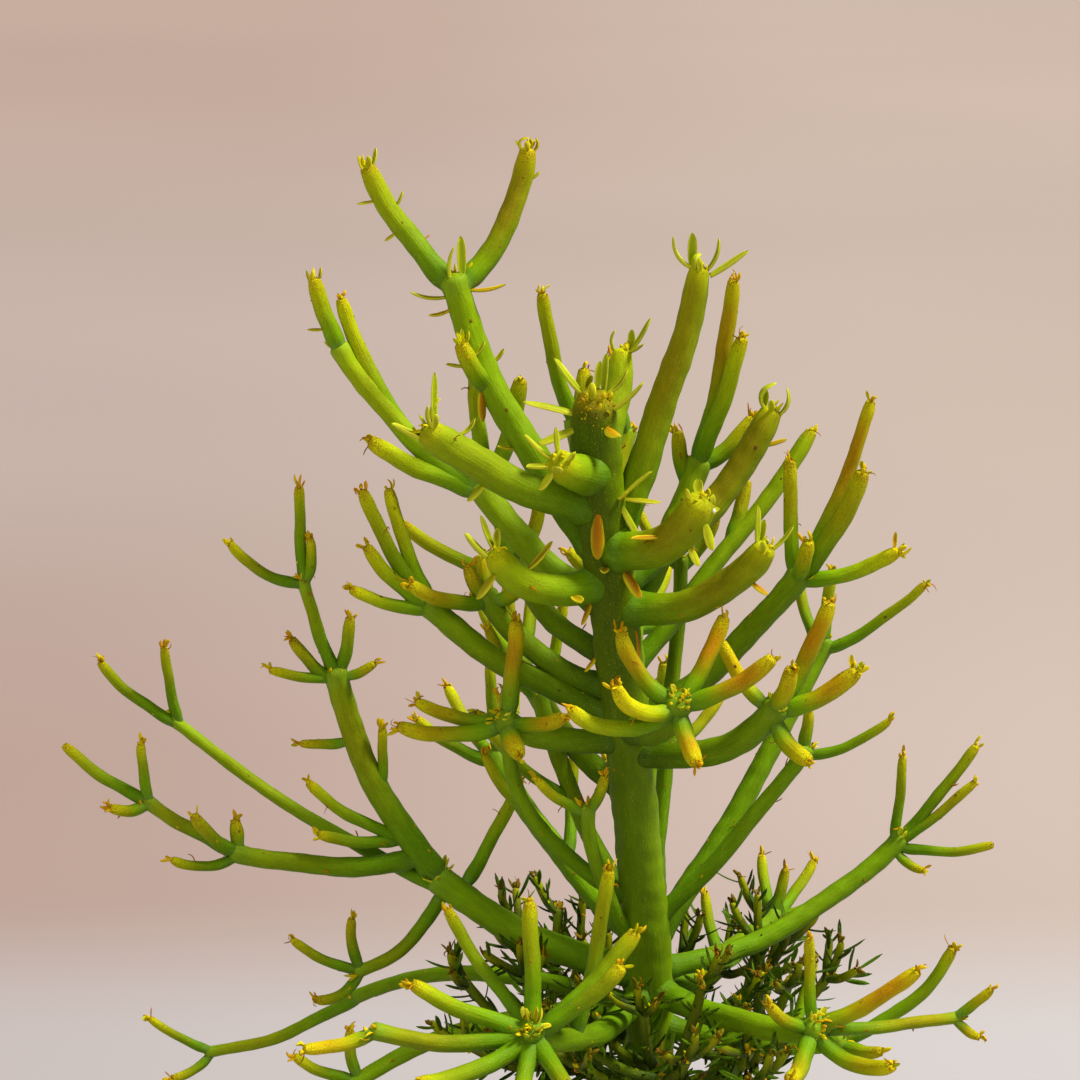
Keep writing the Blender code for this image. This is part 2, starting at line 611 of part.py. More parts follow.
def grow_undergrowth():
    """Adds the undergrowth's branches: every twig tried that stays clear of all that already stands."""
    standing = [(*trunk_at(level), "trunk", False) for level in range(-60, 228, 4)]
    for name, rows in BRANCHES.items():
        for row, start in zip(rows, stem_starts(rows)):
            standing += beads(start, row, name)
    for name, (_, main) in UNDERGROWTH.items():
        standing += beads(trunk_at(main[1])[0], main, name)
    for name, (tries, main) in UNDERGROWTH.items():
        rows = [main]
        for i in range(tries):
            where = round(0.30 + 0.67 * (i * 0.618 % 1), 2)
            heading = round(main[2] + UNDER_SPREAD * (i * 0.755 % 1 - 0.5))
            leaving = round(12 + 50 * (i * 0.570 % 1))
            length = round(24 + 24 * (i * 0.439 % 1))
            twig = (0, where, heading, leaving, min(leaving + 28, 84), length, 2.7, 2.4)
            if not has_room(name, rows, twig, standing):
                continue
            rows.append(twig)
            standing += beads(stem_starts(rows)[-1], twig, name)
            carrier = len(rows) - 1
            for turn, rise in ((-55, 16), (60, 30), (10, 48)):
                twiglet = (carrier, 0.97, heading + turn, rise, rise + 34, 10 + i % 6, 2.3, 2.1)
                if has_room(name, rows, twiglet, standing):
                    rows.append(twiglet)
                    standing += beads(stem_starts(rows)[-1], twiglet, name)
        BRANCHES[name] = tuple(rows)


def beads(start, row, name):
    """Points along a stem: each with its radius, its branch, and whether it is close to its joint."""
    count = max(3, round(row[5] / 2))
    hidden = 6 if row[0] == "trunk" else 0
    found = []
    for i in range(count + 1):
        share = i / count
        if share * row[5] >= hidden:
            radius = (row[6] + (row[7] - row[6]) * share) / 2
            found.append((arc_point(start, *row[2:6], share), radius, name, share * row[5] < 5))
    return found


def has_room(name, rows, row, standing):
    """Whether a stem would stay clear of everything but the joint that it grows from."""
    tree = kdtree.KDTree(len(standing))
    for i, (point, *_) in enumerate(standing):
        tree.insert(point, i)
    tree.balance()
    for point, radius, _, close in beads(stem_starts(rows + [row])[-1], row, name):
        for _, i, distance in tree.find_range(point, 14):
            _, other, branch, other_close = standing[i]
            joined = branch == name and (close or other_close)
            if not joined and distance < radius + other + TWIG_ROOM:
                return False
    return True


def neighbours(name):
    """The main stems listed before a branch that leave the trunk so close that they would touch it."""
    _, level, heading, *_ = BRANCHES[name][0]
    found = []
    for other, rows in BRANCHES.items():
        if other == name:
            return found
        turn = abs((rows[0][2] - heading + 180) % 360 - 180)
        if abs(rows[0][1] - level) < NEIGHBOUR_HEIGHT and turn < NEIGHBOUR_TURN:
            found.append(rows[0])
    return found


def build_branch(name, surface):
    """A branch as one body: its main stem and every twig it carries, its base cut to the trunk's side."""
    rows = BRANCHES[name]
    branch = None
    for row, start in zip(rows, stem_starts(rows)):
        stem = arc_body(name, start, *row[2:8], *facets(row[6], row[5]))
        if branch is None:
            branch = stem
        else:
            combine(branch, stem, "UNION")
    combine(branch, trunk_body("clearance", GAP), "DIFFERENCE")
    for _, level, heading, leaving, final, length, base, tip in neighbours(name):
        grown = (trunk_at(level)[0], heading, leaving, final, length, base + 2 * GAP, tip + 2 * GAP)
        combine(branch, arc_body("clearance", *grown, *facets(base, length)), "DIFFERENCE")
    finish(branch, surface)


def build_tuft(name, surface):
    """A bud and the narrow leaves round it, as one body, just clear of the tip that carries it."""
    carrier, stem, leaves = TUFTS[name]
    if carrier == "trunk":
        tip, radius = trunk_at(TRUNK[-1][0])
        ahead = Vector((0, 0, 1))
        seat = tip + ahead * GAP
    else:
        rows = BRANCHES[carrier]
        row = rows[stem]
        ahead = direction(row[2], row[4])
        radius = row[7] / 2
        seat = arc_point(stem_starts(rows)[stem], *row[2:6], 1) + ahead * (row[7] * 0.2 + GAP)
    across = ahead.cross(Vector((0.31, 0.95, 0.05))).normalized()
    bud = []
    for rise, share in ((0, 0.62), (BUD_HEIGHT, 0.5)):
        bud.append(circle(seat + ahead * rise, across, ahead.cross(across), radius * share, THICK_SIDES))
    tuft = body_from(bud, name)
    for heading, leaving, final, length, width in leaves:
        root = seat + ahead * BUD_HEIGHT * 0.55
        leaf = (root, heading, leaving, final, length, width, width * 0.5)
        combine(tuft, arc_body("leaf", *leaf, 4, 2, LEAF_THICKNESS / width), "UNION")
    finish(tuft, surface)


clear_scene()
grow_undergrowth()
build_pot(material("clay", POT_COLOUR, 0.85))
build_soil(material("potting_mix", SOIL_COLOUR, 0.95))
finish(trunk_body("trunk"), material("trunk_skin", TRUNK_COLOUR, 0.55))
stem_skin = material("stem_skin", STEM_COLOUR, 0.45)
for branch_name in BRANCHES:
    build_branch(branch_name, stem_skin)
leaf_skin = material("leaf_skin", LEAF_COLOUR, 0.5)
for tuft_name in TUFTS:
    build_tuft(tuft_name, leaf_skin)
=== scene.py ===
"""Potted pencil-stem euphorbia: the looks of its pot, soil and plant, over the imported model.

Shapes are made in millimetres, with the pot's foot at height 0, and angles are in degrees.
A heading of 0 is right, 90 back, 180 left and 270 front. A pitch of 0 is level and 90 straight up.
"""

import math

import bmesh
import bpy
import numpy as np
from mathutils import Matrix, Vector, kdtree


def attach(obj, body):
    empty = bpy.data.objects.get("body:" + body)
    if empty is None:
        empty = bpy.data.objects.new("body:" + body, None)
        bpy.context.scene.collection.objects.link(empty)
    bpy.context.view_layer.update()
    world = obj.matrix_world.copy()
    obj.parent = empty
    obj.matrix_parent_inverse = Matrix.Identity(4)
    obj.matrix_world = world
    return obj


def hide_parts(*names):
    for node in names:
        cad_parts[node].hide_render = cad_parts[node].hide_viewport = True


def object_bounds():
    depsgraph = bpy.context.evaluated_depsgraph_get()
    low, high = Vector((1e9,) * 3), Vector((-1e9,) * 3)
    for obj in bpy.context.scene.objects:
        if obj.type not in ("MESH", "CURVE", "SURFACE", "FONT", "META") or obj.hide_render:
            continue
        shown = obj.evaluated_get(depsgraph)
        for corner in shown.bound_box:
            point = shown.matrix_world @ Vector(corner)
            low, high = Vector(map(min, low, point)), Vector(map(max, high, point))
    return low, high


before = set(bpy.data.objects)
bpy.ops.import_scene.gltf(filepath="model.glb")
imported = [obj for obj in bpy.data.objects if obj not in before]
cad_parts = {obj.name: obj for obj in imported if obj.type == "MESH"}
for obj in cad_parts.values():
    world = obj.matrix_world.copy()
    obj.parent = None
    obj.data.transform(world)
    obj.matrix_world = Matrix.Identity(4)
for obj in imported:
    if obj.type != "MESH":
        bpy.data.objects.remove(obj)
cad_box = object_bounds()
CAD_LOW, CAD_HIGH = np.array(cad_box) * 1000


# The pot: a common thrown terracotta pot, tapered, with a thick band at the rim to lift it by.
# It is fired clay, left unglazed, so it shows turning lines and pale salts where water has dried.

POT_HEIGHT = 108
FOOT_RADIUS = 40
SHOULDER_RADIUS = 51
RIM_RADIUS = 58
RIM_BAND = 24
POT_WALL = 5.5
POT_FLOOR = 7
DRAIN_RING = 24
DRAIN_RADIUS = 4.5
DRAIN_CUT = 30
DRAINS = 4
POT_SIDES = 144
LIP_ROUNDING = 1.6
THROWN_STEP = 1.4  # the longest run of the profile between two rings
MM = 0.001  # a millimetre, in metres
CLAY = (0.52, 0.215, 0.105, 1)
CLAY_DARK = (0.36, 0.125, 0.055, 1)
CLAY_SALT = (0.66, 0.52, 0.42, 1)


def between(low, high, share):
    return low + (high - low) * share


class Form:
    """A body being made: rings joined into skins, each point with its own tint and grain."""

    def __init__(self):
        self.points = []
        self.faces = []
        self.tints = []
        self.grains = []
        self.dryness = []
        self.count = 0

    def add(self, points, faces, tint=(1, 1, 1), grain=None, dry=0.0):
        points = np.asarray(points, float).reshape(-1, 3)
        size = len(points)
        self.points.append(points)
        self.faces += [np.asarray(group, int) + self.count for group in faces]
        self.tints.append(np.broadcast_to(np.asarray(tint, float).reshape(-1, 3), (size, 3)))
        self.grains.append(points if grain is None else np.asarray(grain, float).reshape(-1, 3))
        self.dryness.append(np.broadcast_to(np.asarray(dry, float).reshape(-1), (size,)))
        self.count += size

    def skin(self, rings, tint=(1, 1, 1), grain=None, dry=0.0):
        """Joins an array of rings into one closed body, with a point at the middle of each end."""
        rings = np.asarray(rings, float)
        count, sides = rings.shape[:2]
        lower = (np.arange(count - 1) * sides)[:, None] + np.arange(sides)
        beside = (np.arange(count - 1) * sides)[:, None] + (np.arange(sides) + 1) % sides
        walls = np.stack([lower, beside, beside + sides, lower + sides], -1).reshape(-1, 4)
        first = count * sides
        here = np.arange(sides)
        there = (here + 1) % sides
        foot = np.stack([there, here, np.full(sides, first)], -1)
        head = np.stack([here, there, np.full(sides, -sides)], -1) + (count - 1) * sides
        head[:, 2] = first + 1

        def ended(values, width):
            values = np.broadcast_to(np.asarray(values, float), (count, sides, width))
            ends = np.stack([values[0].mean(0), values[-1].mean(0)])
            return np.vstack([values.reshape(-1, width), ends])

        points = ended(rings, 3)
        grains = points if grain is None else ended(grain, 3)
        dry = ended(np.asarray(dry, float)[..., None] if np.ndim(dry) else dry, 1)
        self.add(points, (walls, foot, head), ended(tint, 3), grains, dry)

    def piece(self, name, slot, finish, *nodes):
        """The finished object in metres, riding on the part and standing for its CAD nodes."""
        mesh = bpy.data.meshes.new(name)
        points = np.concatenate(self.points) * MM
        corners = np.concatenate([group.reshape(-1) for group in self.faces])
        sizes = np.concatenate([np.full(len(group), group.shape[1]) for group in self.faces])
        mesh.vertices.add(len(points))
        mesh.vertices.foreach_set("co", points.astype(np.float32).ravel())
        mesh.loops.add(len(corners))
        mesh.loops.foreach_set("vertex_index", corners.astype(np.int32))
        mesh.polygons.add(len(sizes))
        mesh.polygons.foreach_set("loop_start", (np.cumsum(sizes) - sizes).astype(np.int32))
        mesh.polygons.foreach_set("use_smooth", np.ones(len(sizes), bool))
        mesh.update(calc_edges=True)
        for label, values, kind in (
            ("tint", self.tints, "FLOAT_VECTOR"),
            ("grain", self.grains, "FLOAT_VECTOR"),
            ("dry", self.dryness, "FLOAT"),
        ):
            layer = mesh.attributes.new(label, kind, "POINT")
            field = "value" if kind == "FLOAT" else "vector"
            layer.data.foreach_set(field, np.concatenate(values).astype(np.float32).ravel())
        mesh.validate()
        mesh.materials.append(finish)
        thing = bpy.data.objects.new(name, mesh)
        bpy.context.scene.collection.objects.link(thing)
        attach(thing, "root")
        if nodes:
            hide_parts(*nodes)
        return thing


class Wire:
    """One number that changes over a surface; arithmetic on it adds the nodes that work it out."""

    def __init__(self, finish, socket):
        self.finish = finish
        self.socket = socket

    def sum(self, operation, first, second):
        return self.finish.node("Math", {"operation": operation}, {0: first, 1: second})

    def __add__(self, other):
        return self.sum("ADD", self, other)

    def __radd__(self, other):
        return self.sum("ADD", other, self)

    def __mul__(self, other):
        return self.sum("MULTIPLY", self, other)

    def __rmul__(self, other):
        return self.sum("MULTIPLY", other, self)


class Finish:
    """A surface being made: its material, its main shader and the nodes that feed that."""

    def __init__(self, name, **constants):
        self.material = bpy.data.materials.new(name)
        self.material.use_nodes = True
        self.tree = self.material.node_tree
        self.shader = self.tree.nodes["Principled BSDF"]
        for socket, value in constants.items():
            self.shader.inputs[socket.replace("_", " ")].default_value = value

    def give(self, socket, value):
        if isinstance(value, Wire):
            self.tree.links.new(value.socket, socket)
        else:
            socket.default_value = value

    def node(self, kind, settings, values, output=0):
        """A node of any kind: its settings first, then the values or wires of its sockets."""
        made = self.tree.nodes.new("ShaderNode" + kind)
        for name, value in settings.items():
            setattr(made, name, value)
        for name, value in values.items():
            self.give(made.inputs[name], value)
        return Wire(self, made.outputs[output])

    def place(self):
        """Where a point is on the object, in metres."""
        return self.node("TexCoord", {}, {}, "Object")

    def stored(self, name, output="Vector"):
        """What the mesh itself stores at each point."""
        settings = {"attribute_type": "GEOMETRY", "attribute_name": name}
        return self.node("Attribute", settings, {}, output)

    def stretched(self, vector, amounts):
        return self.node("VectorMath", {"operation": "MULTIPLY"}, {0: vector, 1: amounts})

    def mottle(self, vector, scale, detail=3.0, roughness=0.55):
        values = {"Vector": vector, "Scale": scale, "Detail": detail, "Roughness": roughness}
        return self.node("TexNoise", {}, values)

    def step(self, wire, low, high):
        """0 below low, 1 above high and smooth in between."""
        values = {"Value": wire, "From Min": low, "From Max": high}
        return self.node("MapRange", {"interpolation_type": "SMOOTHSTEP"}, values)

    def mix(self, share, first, second):
        return self.node("Mix", {"data_type": "RGBA"}, {0: share, 6: first, 7: second}, 2)

    def shade(self, colour, amount):
        return self.node("VectorMath", {"operation": "SCALE"}, {0: colour, 3: amount})

    def relief(self, height, metres, below=None):
        values = {"Height": height, "Distance": metres}
        if below is not None:
            values["Normal"] = below
        return self.node("Bump", {}, values)

    def done(self, **wires):
        for socket, wire in wires.items():
            self.give(self.shader.inputs[socket.replace("_", " ")], wire)
        return self.material


clay = Finish("terracotta", Specular_IOR_Level=0.3)
clay_place = clay.place()
clay_patch = clay.mottle(clay_place, 26.0, 5.0)
clay_fine = clay.mottle(clay_place, 900.0, 4.0, 0.7)
clay_salt = clay.mottle(clay.stretched(clay_place, (1, 1, 0.45)), 38.0, 8.0, 0.68)
clay_turning = clay.mottle(clay.stretched(clay_place, (0.03, 0.03, 1)), 420.0, 2.0)
clay_colour = clay.mix(clay.step(clay_patch, 0.3, 0.75), CLAY_DARK, CLAY)
clay_colour = clay.mix(clay.step(clay_salt, 0.56, 0.72) * 0.55, clay_colour, CLAY_SALT)
clay_colour = clay.shade(clay_colour, clay_fine * 0.5 + clay_turning * 0.3 + 0.6)
clay_relief = clay.relief(clay_turning, 0.0003)
terracotta = clay.done(
    Base_Color=clay_colour,
    Roughness=clay_fine * 0.2 + 0.72,
    Normal=clay.relief(clay_fine, 0.00012, clay_relief),
)


def inner_radius(height):
    """The radius of the pot's inside at a height."""
    lean = (SHOULDER_RADIUS - FOOT_RADIUS) / (POT_HEIGHT - RIM_BAND)
    return FOOT_RADIUS + lean * height - POT_WALL


def turned(profile, sides):
    """Rings turned about the pot's axis from (radius, height) points."""
    angle = np.arange(sides) * 2 * math.pi / sides
    rings = [[r * np.cos(angle), r * np.sin(angle), np.full(sides, float(z))] for r, z in profile]
    return np.array(rings).transpose(0, 2, 1)


def rounded(profile, reach, cuts):
    """The same profile, its corners rounded off and its runs divided for the thrower's lines."""
    profile = np.array(profile, float)
    smooth = [profile[0]]
    for before, corner, after in zip(profile, profile[1:], profile[2:]):
        arrive = corner + (before - corner) * min(0.45, reach / np.linalg.norm(before - corner))
        leave = corner + (after - corner) * min(0.45, reach / np.linalg.norm(after - corner))
        for share in np.linspace(0, 1, 6):
            inward, outward = between(arrive, corner, share), between(corner, leave, share)
            smooth.append(between(inward, outward, share))
    smooth.append(profile[-1])
    fine = [smooth[0]]
    for low, high in zip(smooth, smooth[1:]):
        count = max(1, round(np.linalg.norm(high - low) / cuts))
        fine += [between(low, high, (i + 1) / count) for i in range(count)]
    return fine


pot_band = POT_HEIGHT - RIM_BAND
pot_profile = rounded(
    (
        (20, 0),
        (FOOT_RADIUS, 0),
        (SHOULDER_RADIUS - 0.2, pot_band),
        (RIM_RADIUS - 2.2, pot_band + 0.6),
        (RIM_RADIUS, POT_HEIGHT),
        (inner_radius(POT_HEIGHT), POT_HEIGHT),
        (inner_radius(POT_FLOOR), POT_FLOOR),
        (12, POT_FLOOR),
    ),
    LIP_ROUNDING,
    THROWN_STEP,
)
pot_rings = turned(pot_profile, POT_SIDES)
pot_levels = pot_rings[..., 2]
pot_lines = 0.12 * np.sin(pot_levels * 1.9) + 0.08 * np.sin(pot_levels * 0.83 + 1.0)
pot_rings[..., :2] *= (1 - np.abs(pot_lines) / 50)[..., None]
pot_form = Form()
pot_form.skin(pot_rings)
pot = pot_form.piece("terracotta_pot", "clay", terracotta, "pot")
for number in range(DRAINS):
    cutter_mesh = bpy.data.meshes.new("drain")
    cutter_form = bmesh.new()
    bmesh.ops.create_cone(
        cutter_form,
        cap_ends=True,
        segments=32,
        radius1=DRAIN_RADIUS * MM,
        radius2=DRAIN_RADIUS * MM,
        depth=DRAIN_CUT * MM,
    )
    cutter_form.to_mesh(cutter_mesh)
    cutter_form.free()
    cutter = bpy.data.objects.new("drain", cutter_mesh)
    turn = number * 2 * math.pi / DRAINS
    cutter.location = (DRAIN_RING * MM * math.cos(turn), DRAIN_RING * MM * math.sin(turn), 0)
    bpy.context.scene.collection.objects.link(cutter)
    drain = pot.modifiers.new("drain", "BOOLEAN")
    drain.operation = "DIFFERENCE"
    drain.solver = "EXACT"
    drain.object = cutter
    bpy.context.view_layer.update()
    depsgraph = bpy.context.evaluated_depsgraph_get()
    drained = bpy.data.meshes.new_from_object(pot.evaluated_get(depsgraph))
    pot.modifiers.clear()
    pot.data = drained
    bpy.data.objects.remove(cutter)


# The soil: a gritty potting mix of peat, bark and grit with some white perlite.
# It fills the pot to just below the rim, and single grains stand out of its loose uneven top.

SOIL_LEVEL = 98
SOIL_WALL_TOP = 94
SOIL_SIDES = 180
SOIL_WAVES = 26
GRAINS = 420
GRAIN_REACH = 45.5
WHITE_SHARE = 0.16
SOIL_DARK = (0.030, 0.019, 0.012, 1)
SOIL_BROWN = (0.105, 0.066, 0.040, 1)
GRIT_TINTS = (
    (0.075, 0.045, 0.026),
    (0.16, 0.10, 0.058),
    (0.30, 0.24, 0.18),
    (0.05, 0.033, 0.022),
)
PERLITE = (0.78, 0.77, 0.73)

soil = Finish("potting_soil", Specular_IOR_Level=0.25)
soil_place = soil.place()
soil_lump = soil.mottle(soil_place, 120.0, 6.0, 0.65)
soil_fine = soil.mottle(soil_place, 1300.0, 5.0, 0.75)
soil_tint = soil.mix(soil.step(soil_lump, 0.36, 0.66), SOIL_DARK, SOIL_BROWN)
soil_relief = soil.relief(soil_lump, 0.0012)
potting_soil = soil.done(
    Base_Color=soil.shade(soil_tint, soil_fine * 1.1 + 0.45),
    Roughness=soil_fine * 0.15 + 0.82,
    Normal=soil.relief(soil_fine, 0.0005, soil_relief),
)
grit = Finish("grit", Specular_IOR_Level=0.3)
grit_fine = grit.mottle(grit.place(), 1600.0, 4.0, 0.7)
grit_skin = grit.done(
    Base_Color=grit.shade(grit.stored("tint"), grit_fine * 0.8 + 0.6),
    Roughness=grit_fine * 0.2 + 0.72,
    Normal=grit.relief(grit_fine, 0.00025),
)

soil_random = np.random.RandomState(11)
soil_waves = soil_random.uniform(-1, 1, (SOIL_WAVES, 4))


def soil_height(x, y):
    """The uneven top of the soil, a little higher round the trunk than at the wall."""
    height = SOIL_LEVEL - 0.9 - 1.6 * np.clip(np.hypot(x, y) / 47, 0, 1) ** 2
    for i, (across, along, shift, share) in enumerate(soil_waves):
        fine = 0.10 + 0.045 * i
        height = height + 0.16 * share * np.sin((x * across + y * along) * fine * 2 + shift * 6)
    return height


soil_low = POT_FLOOR + 0.3
soil_edge = inner_radius(SOIL_LEVEL) - 0.5
soil_foot = inner_radius(soil_low) - 0.6
soil_outline = [
    (between(soil_foot, soil_edge, share), between(soil_low, SOIL_WALL_TOP, share))
    for share in (0, 0.5, 1)
]
soil_wall = turned(soil_outline, SOIL_SIDES)
soil_top = turned([(soil_edge * share, 0) for share in np.linspace(1, 0.03, 60)], SOIL_SIDES)
soil_top[..., 2] = soil_height(soil_top[..., 0], soil_top[..., 1])
soil_form = Form()
soil_form.skin(np.vstack([soil_wall, soil_top]))
soil_form.piece("soil_plug", "potting_mix", potting_soil, "soil")

pebble = bmesh.new()
bmesh.ops.create_icosphere(pebble, subdivisions=2, radius=1.0)
pebble.verts.ensure_lookup_table()
PEBBLE_POINTS = np.array([vert.co for vert in pebble.verts])
PEBBLE_FACES = np.array([[vert.index for vert in face.verts] for face in pebble.faces])
pebble.free()


def lump(random, size, flat=1.0):
    """A small irregular grain: a ball squeezed three ways and dented."""
    points = PEBBLE_POINTS * random.uniform(0.65, 1.25, 3) * (1, 1, flat)
    for push in random.normal(0, 1, (4, 3)):
        push /= np.linalg.norm(push)
        proud = np.clip(points @ push - random.uniform(0.25, 0.6), 0, None)
        points = points - push * proud[:, None] * 0.8
    spin, _ = np.linalg.qr(random.normal(0, 1, (3, 3)))
    if np.linalg.det(spin) < 0:
        spin[:, 0] *= -1
    return points @ spin.T * size


grit_form = Form()
for number in range(GRAINS):
    reach = GRAIN_REACH * math.sqrt(soil_random.uniform(0.03, 1))
    turn = soil_random.uniform(0, 2 * math.pi)
    x, y = reach * math.cos(turn), reach * math.sin(turn)
    white = soil_random.rand() < WHITE_SHARE
    size = soil_random.uniform(0.5, 1.5) if white else soil_random.uniform(0.4, 1.7)
    colour = PERLITE if white else GRIT_TINTS[soil_random.randint(len(GRIT_TINTS))]
    place = np.array([x, y, min(soil_height(x, y) + size * 0.25, SOIL_LEVEL)])
    grain = lump(soil_random, size, 0.8) + place
    grit_form.add(grain, (PEBBLE_FACES,), np.array(colour) * soil_random.uniform(0.8, 1.15))
grit_form.piece("soil_grit", "potting_mix", grit_skin)


# The trunk: one upright waxy green stem, rooted in the soil, with dry bud crumbs on its blunt top.
# It is the oldest growth, thicker where branches leave it, with faint grooves and pale specks.

COLLAR_LEVEL = 116  # the plant's heights are counted from here
# Down the trunk's table: the height, where its middle is across and back, and its diameter.
TRUNK = (
    (-62, 1, 1, 6.5),
    (-30, 1, 0, 11.5),
    (0, 1, 0, 13.0),
    (40, 1.5, 0, 12.2),
    (75, 0.5, 0, 11.8),
    (131, -5, 0, 11.2),
    (165, -8.5, 0, 11.8),
    (190, -11.5, 0, 12.2),
    (205, -13.6, 0, 12.2),
    (218, -14.4, 0, 11.8),
    (225, -14.6, 0, 11.0),
    (228, -14.7, 0, 8.5),
)
# Each root: its depth at the trunk, heading, leaving and final pitch, length, and two diameters.
ROOTS = (
    (38, 20, -10, -45, 33, 5.0, 1.8),
    (44, 95, -20, -60, 31, 4.6, 1.8),
    (36, 165, -10, -50, 34, 5.0, 1.8),
    (46, 235, -15, -55, 30, 4.4, 1.8),
    (40, 305, -10, -45, 32, 4.8, 1.8),
)
TRUNK_JOINTS = (57, 70, 86, 122, 141, 160, 184)
TRUNK_SCARS = 46
TOP_LEAVES = 34
TOP_CRUMBS = 170
SPIRAL = 137.5  # the turn from each leaf to the next one up a stem
UPRIGHT = np.array((0, 0, 1.0))
DEEP_GREEN = np.array((0.062, 0.132, 0.0003))
GREEN = np.array((0.152, 0.335, 0.0003))
LIME = np.array((0.42, 0.58, 0.0006))
YELLOW = np.array((0.88, 0.74, 0.001))
ORANGE = np.array((0.78, 0.30, 0.0006))
RUST = np.array((0.32, 0.13, 0.0006))
OLIVE_FLUSH = np.array((0.31, 0.235, 0.0003))
BLOOM = np.array((0.20, 0.34, 0.09))
DRY_BROWN = np.array((0.19, 0.085, 0.018))
CRUMB = (0.36, 0.165, 0.010, 1)
PALE_SPECK = (0.62, 0.66, 0.12, 1)
# The way the sunny side of the stems faces, up and to the front: it sets their real sun flush and
# also painted light and shade.
SUN_SIDE = np.array((-0.25, -0.55, 0.80))
SUN_SIDE /= np.linalg.norm(SUN_SIDE)


def waxy_skin(name):
    """Living skin: the mesh's own tint, broken up by blotches, grooves, specks and dry flecks."""
    skin = Finish(name, Specular_IOR_Level=0.08)
    grain = skin.stored("grain")
    blotch = skin.mottle(skin.stretched(grain, (1, 1, 0.5)), 0.35, 4.0)
    groove = skin.mottle(skin.stretched(grain, (2.6, 2.6, 0.11)), 1.0, 4.0, 0.6)
    pore = skin.mottle(skin.stretched(grain, (1, 1, 0.6)), 3.6, 2.0, 0.5)
    fleck = skin.mottle(skin.stretched(grain, (1, 1, 2.0)), 1.9, 4.0, 0.65)
    dry = skin.stored("dry", "Fac")
    tint = skin.shade(skin.stored("tint"), blotch * 0.65 + groove * 0.45 + 0.46)
    tint = skin.mix(skin.step(pore, 0.62, 0.72) * 0.45, tint, PALE_SPECK)
    tint = skin.mix(skin.step(fleck + dry * 0.2, 0.63, 0.70) * 0.7, tint, CRUMB)
    relief = skin.relief(blotch * 1.0 + groove * 0.7 + fleck * dry * 1.5, 0.00028)
    return skin.done(
        Base_Color=tint,
        Roughness=groove * 0.18 + dry * 0.35 + 0.36,
        Normal=skin.relief(pore, 0.00005, relief),
    )


stem_wax = waxy_skin("stem_wax")
trunk_wax = waxy_skin("trunk_wax")


def heading_of(heading, pitch):
    """The unit vector at a heading and a pitch."""
    turn, rise = math.radians(heading), math.radians(pitch)
    level = math.cos(rise)
    return np.array((level * math.cos(turn), level * math.sin(turn), math.sin(rise)))


def trunk_spot(height):
    """The trunk's centre and radius at a height from the collar."""
    for low, high in zip(TRUNK, TRUNK[1:]):
        if low[0] <= height <= high[0]:
            share = (height - low[0]) / (high[0] - low[0])
            level, x, y, diameter = (a + (b - a) * share for a, b in zip(low, high))
            return Vector((x, y, COLLAR_LEVEL + level)), diameter / 2
    raise ValueError(f"no trunk at {height}")


def trunk_at(height):
    centre, radius = trunk_spot(height)
    return np.array(centre), radius


class Path:
    """A rod's middle line, in an upright plane, with the three directions at each of its points."""

    def __init__(self, start, heading, leaving, final, length, count, sway=0.0, phase=0.0):
        share = np.linspace(0, 1, count + 1)
        turn = math.radians(heading)
        level = np.array((math.cos(turn), math.sin(turn), 0))
        up = np.array((0, 0, 1.0))
        middle = np.radians(leaving + (final - leaving) * (share[:-1] + 0.5 / count))[:, None]
        steps = (np.cos(middle) * level + np.sin(middle) * up) * length / count
        pitch = np.radians(leaving + (final - leaving) * share)[:, None]
        self.share = share
        self.along = share * length
        self.length = length
        self.ahead = np.cos(pitch) * level + np.sin(pitch) * up
        self.side = np.broadcast_to((-math.sin(turn), math.cos(turn), 0), self.ahead.shape)
        self.normal = np.cos(pitch) * up - np.sin(pitch) * level
        self.points = start + np.vstack([np.zeros(3), np.cumsum(steps, 0)])
        bow = np.sin(math.pi * share) * sway
        self.points = self.points + (bow * np.sin(share * 7 + phase))[:, None] * self.side
        self.points = self.points + (bow * np.sin(share * 9 + phase * 2))[:, None] * self.normal

    def at(self, share, values=None):
        values = self.points if values is None else values
        return np.array([np.interp(share, self.share, values[:, axis]) for axis in range(3)])

    def out(self, share, turn):
        """The way out of the rod's side at a share of its length, at a turn in radians about it."""
        across, above = self.at(share, self.side), self.at(share, self.normal)
        return math.cos(turn) * across + math.sin(turn) * above


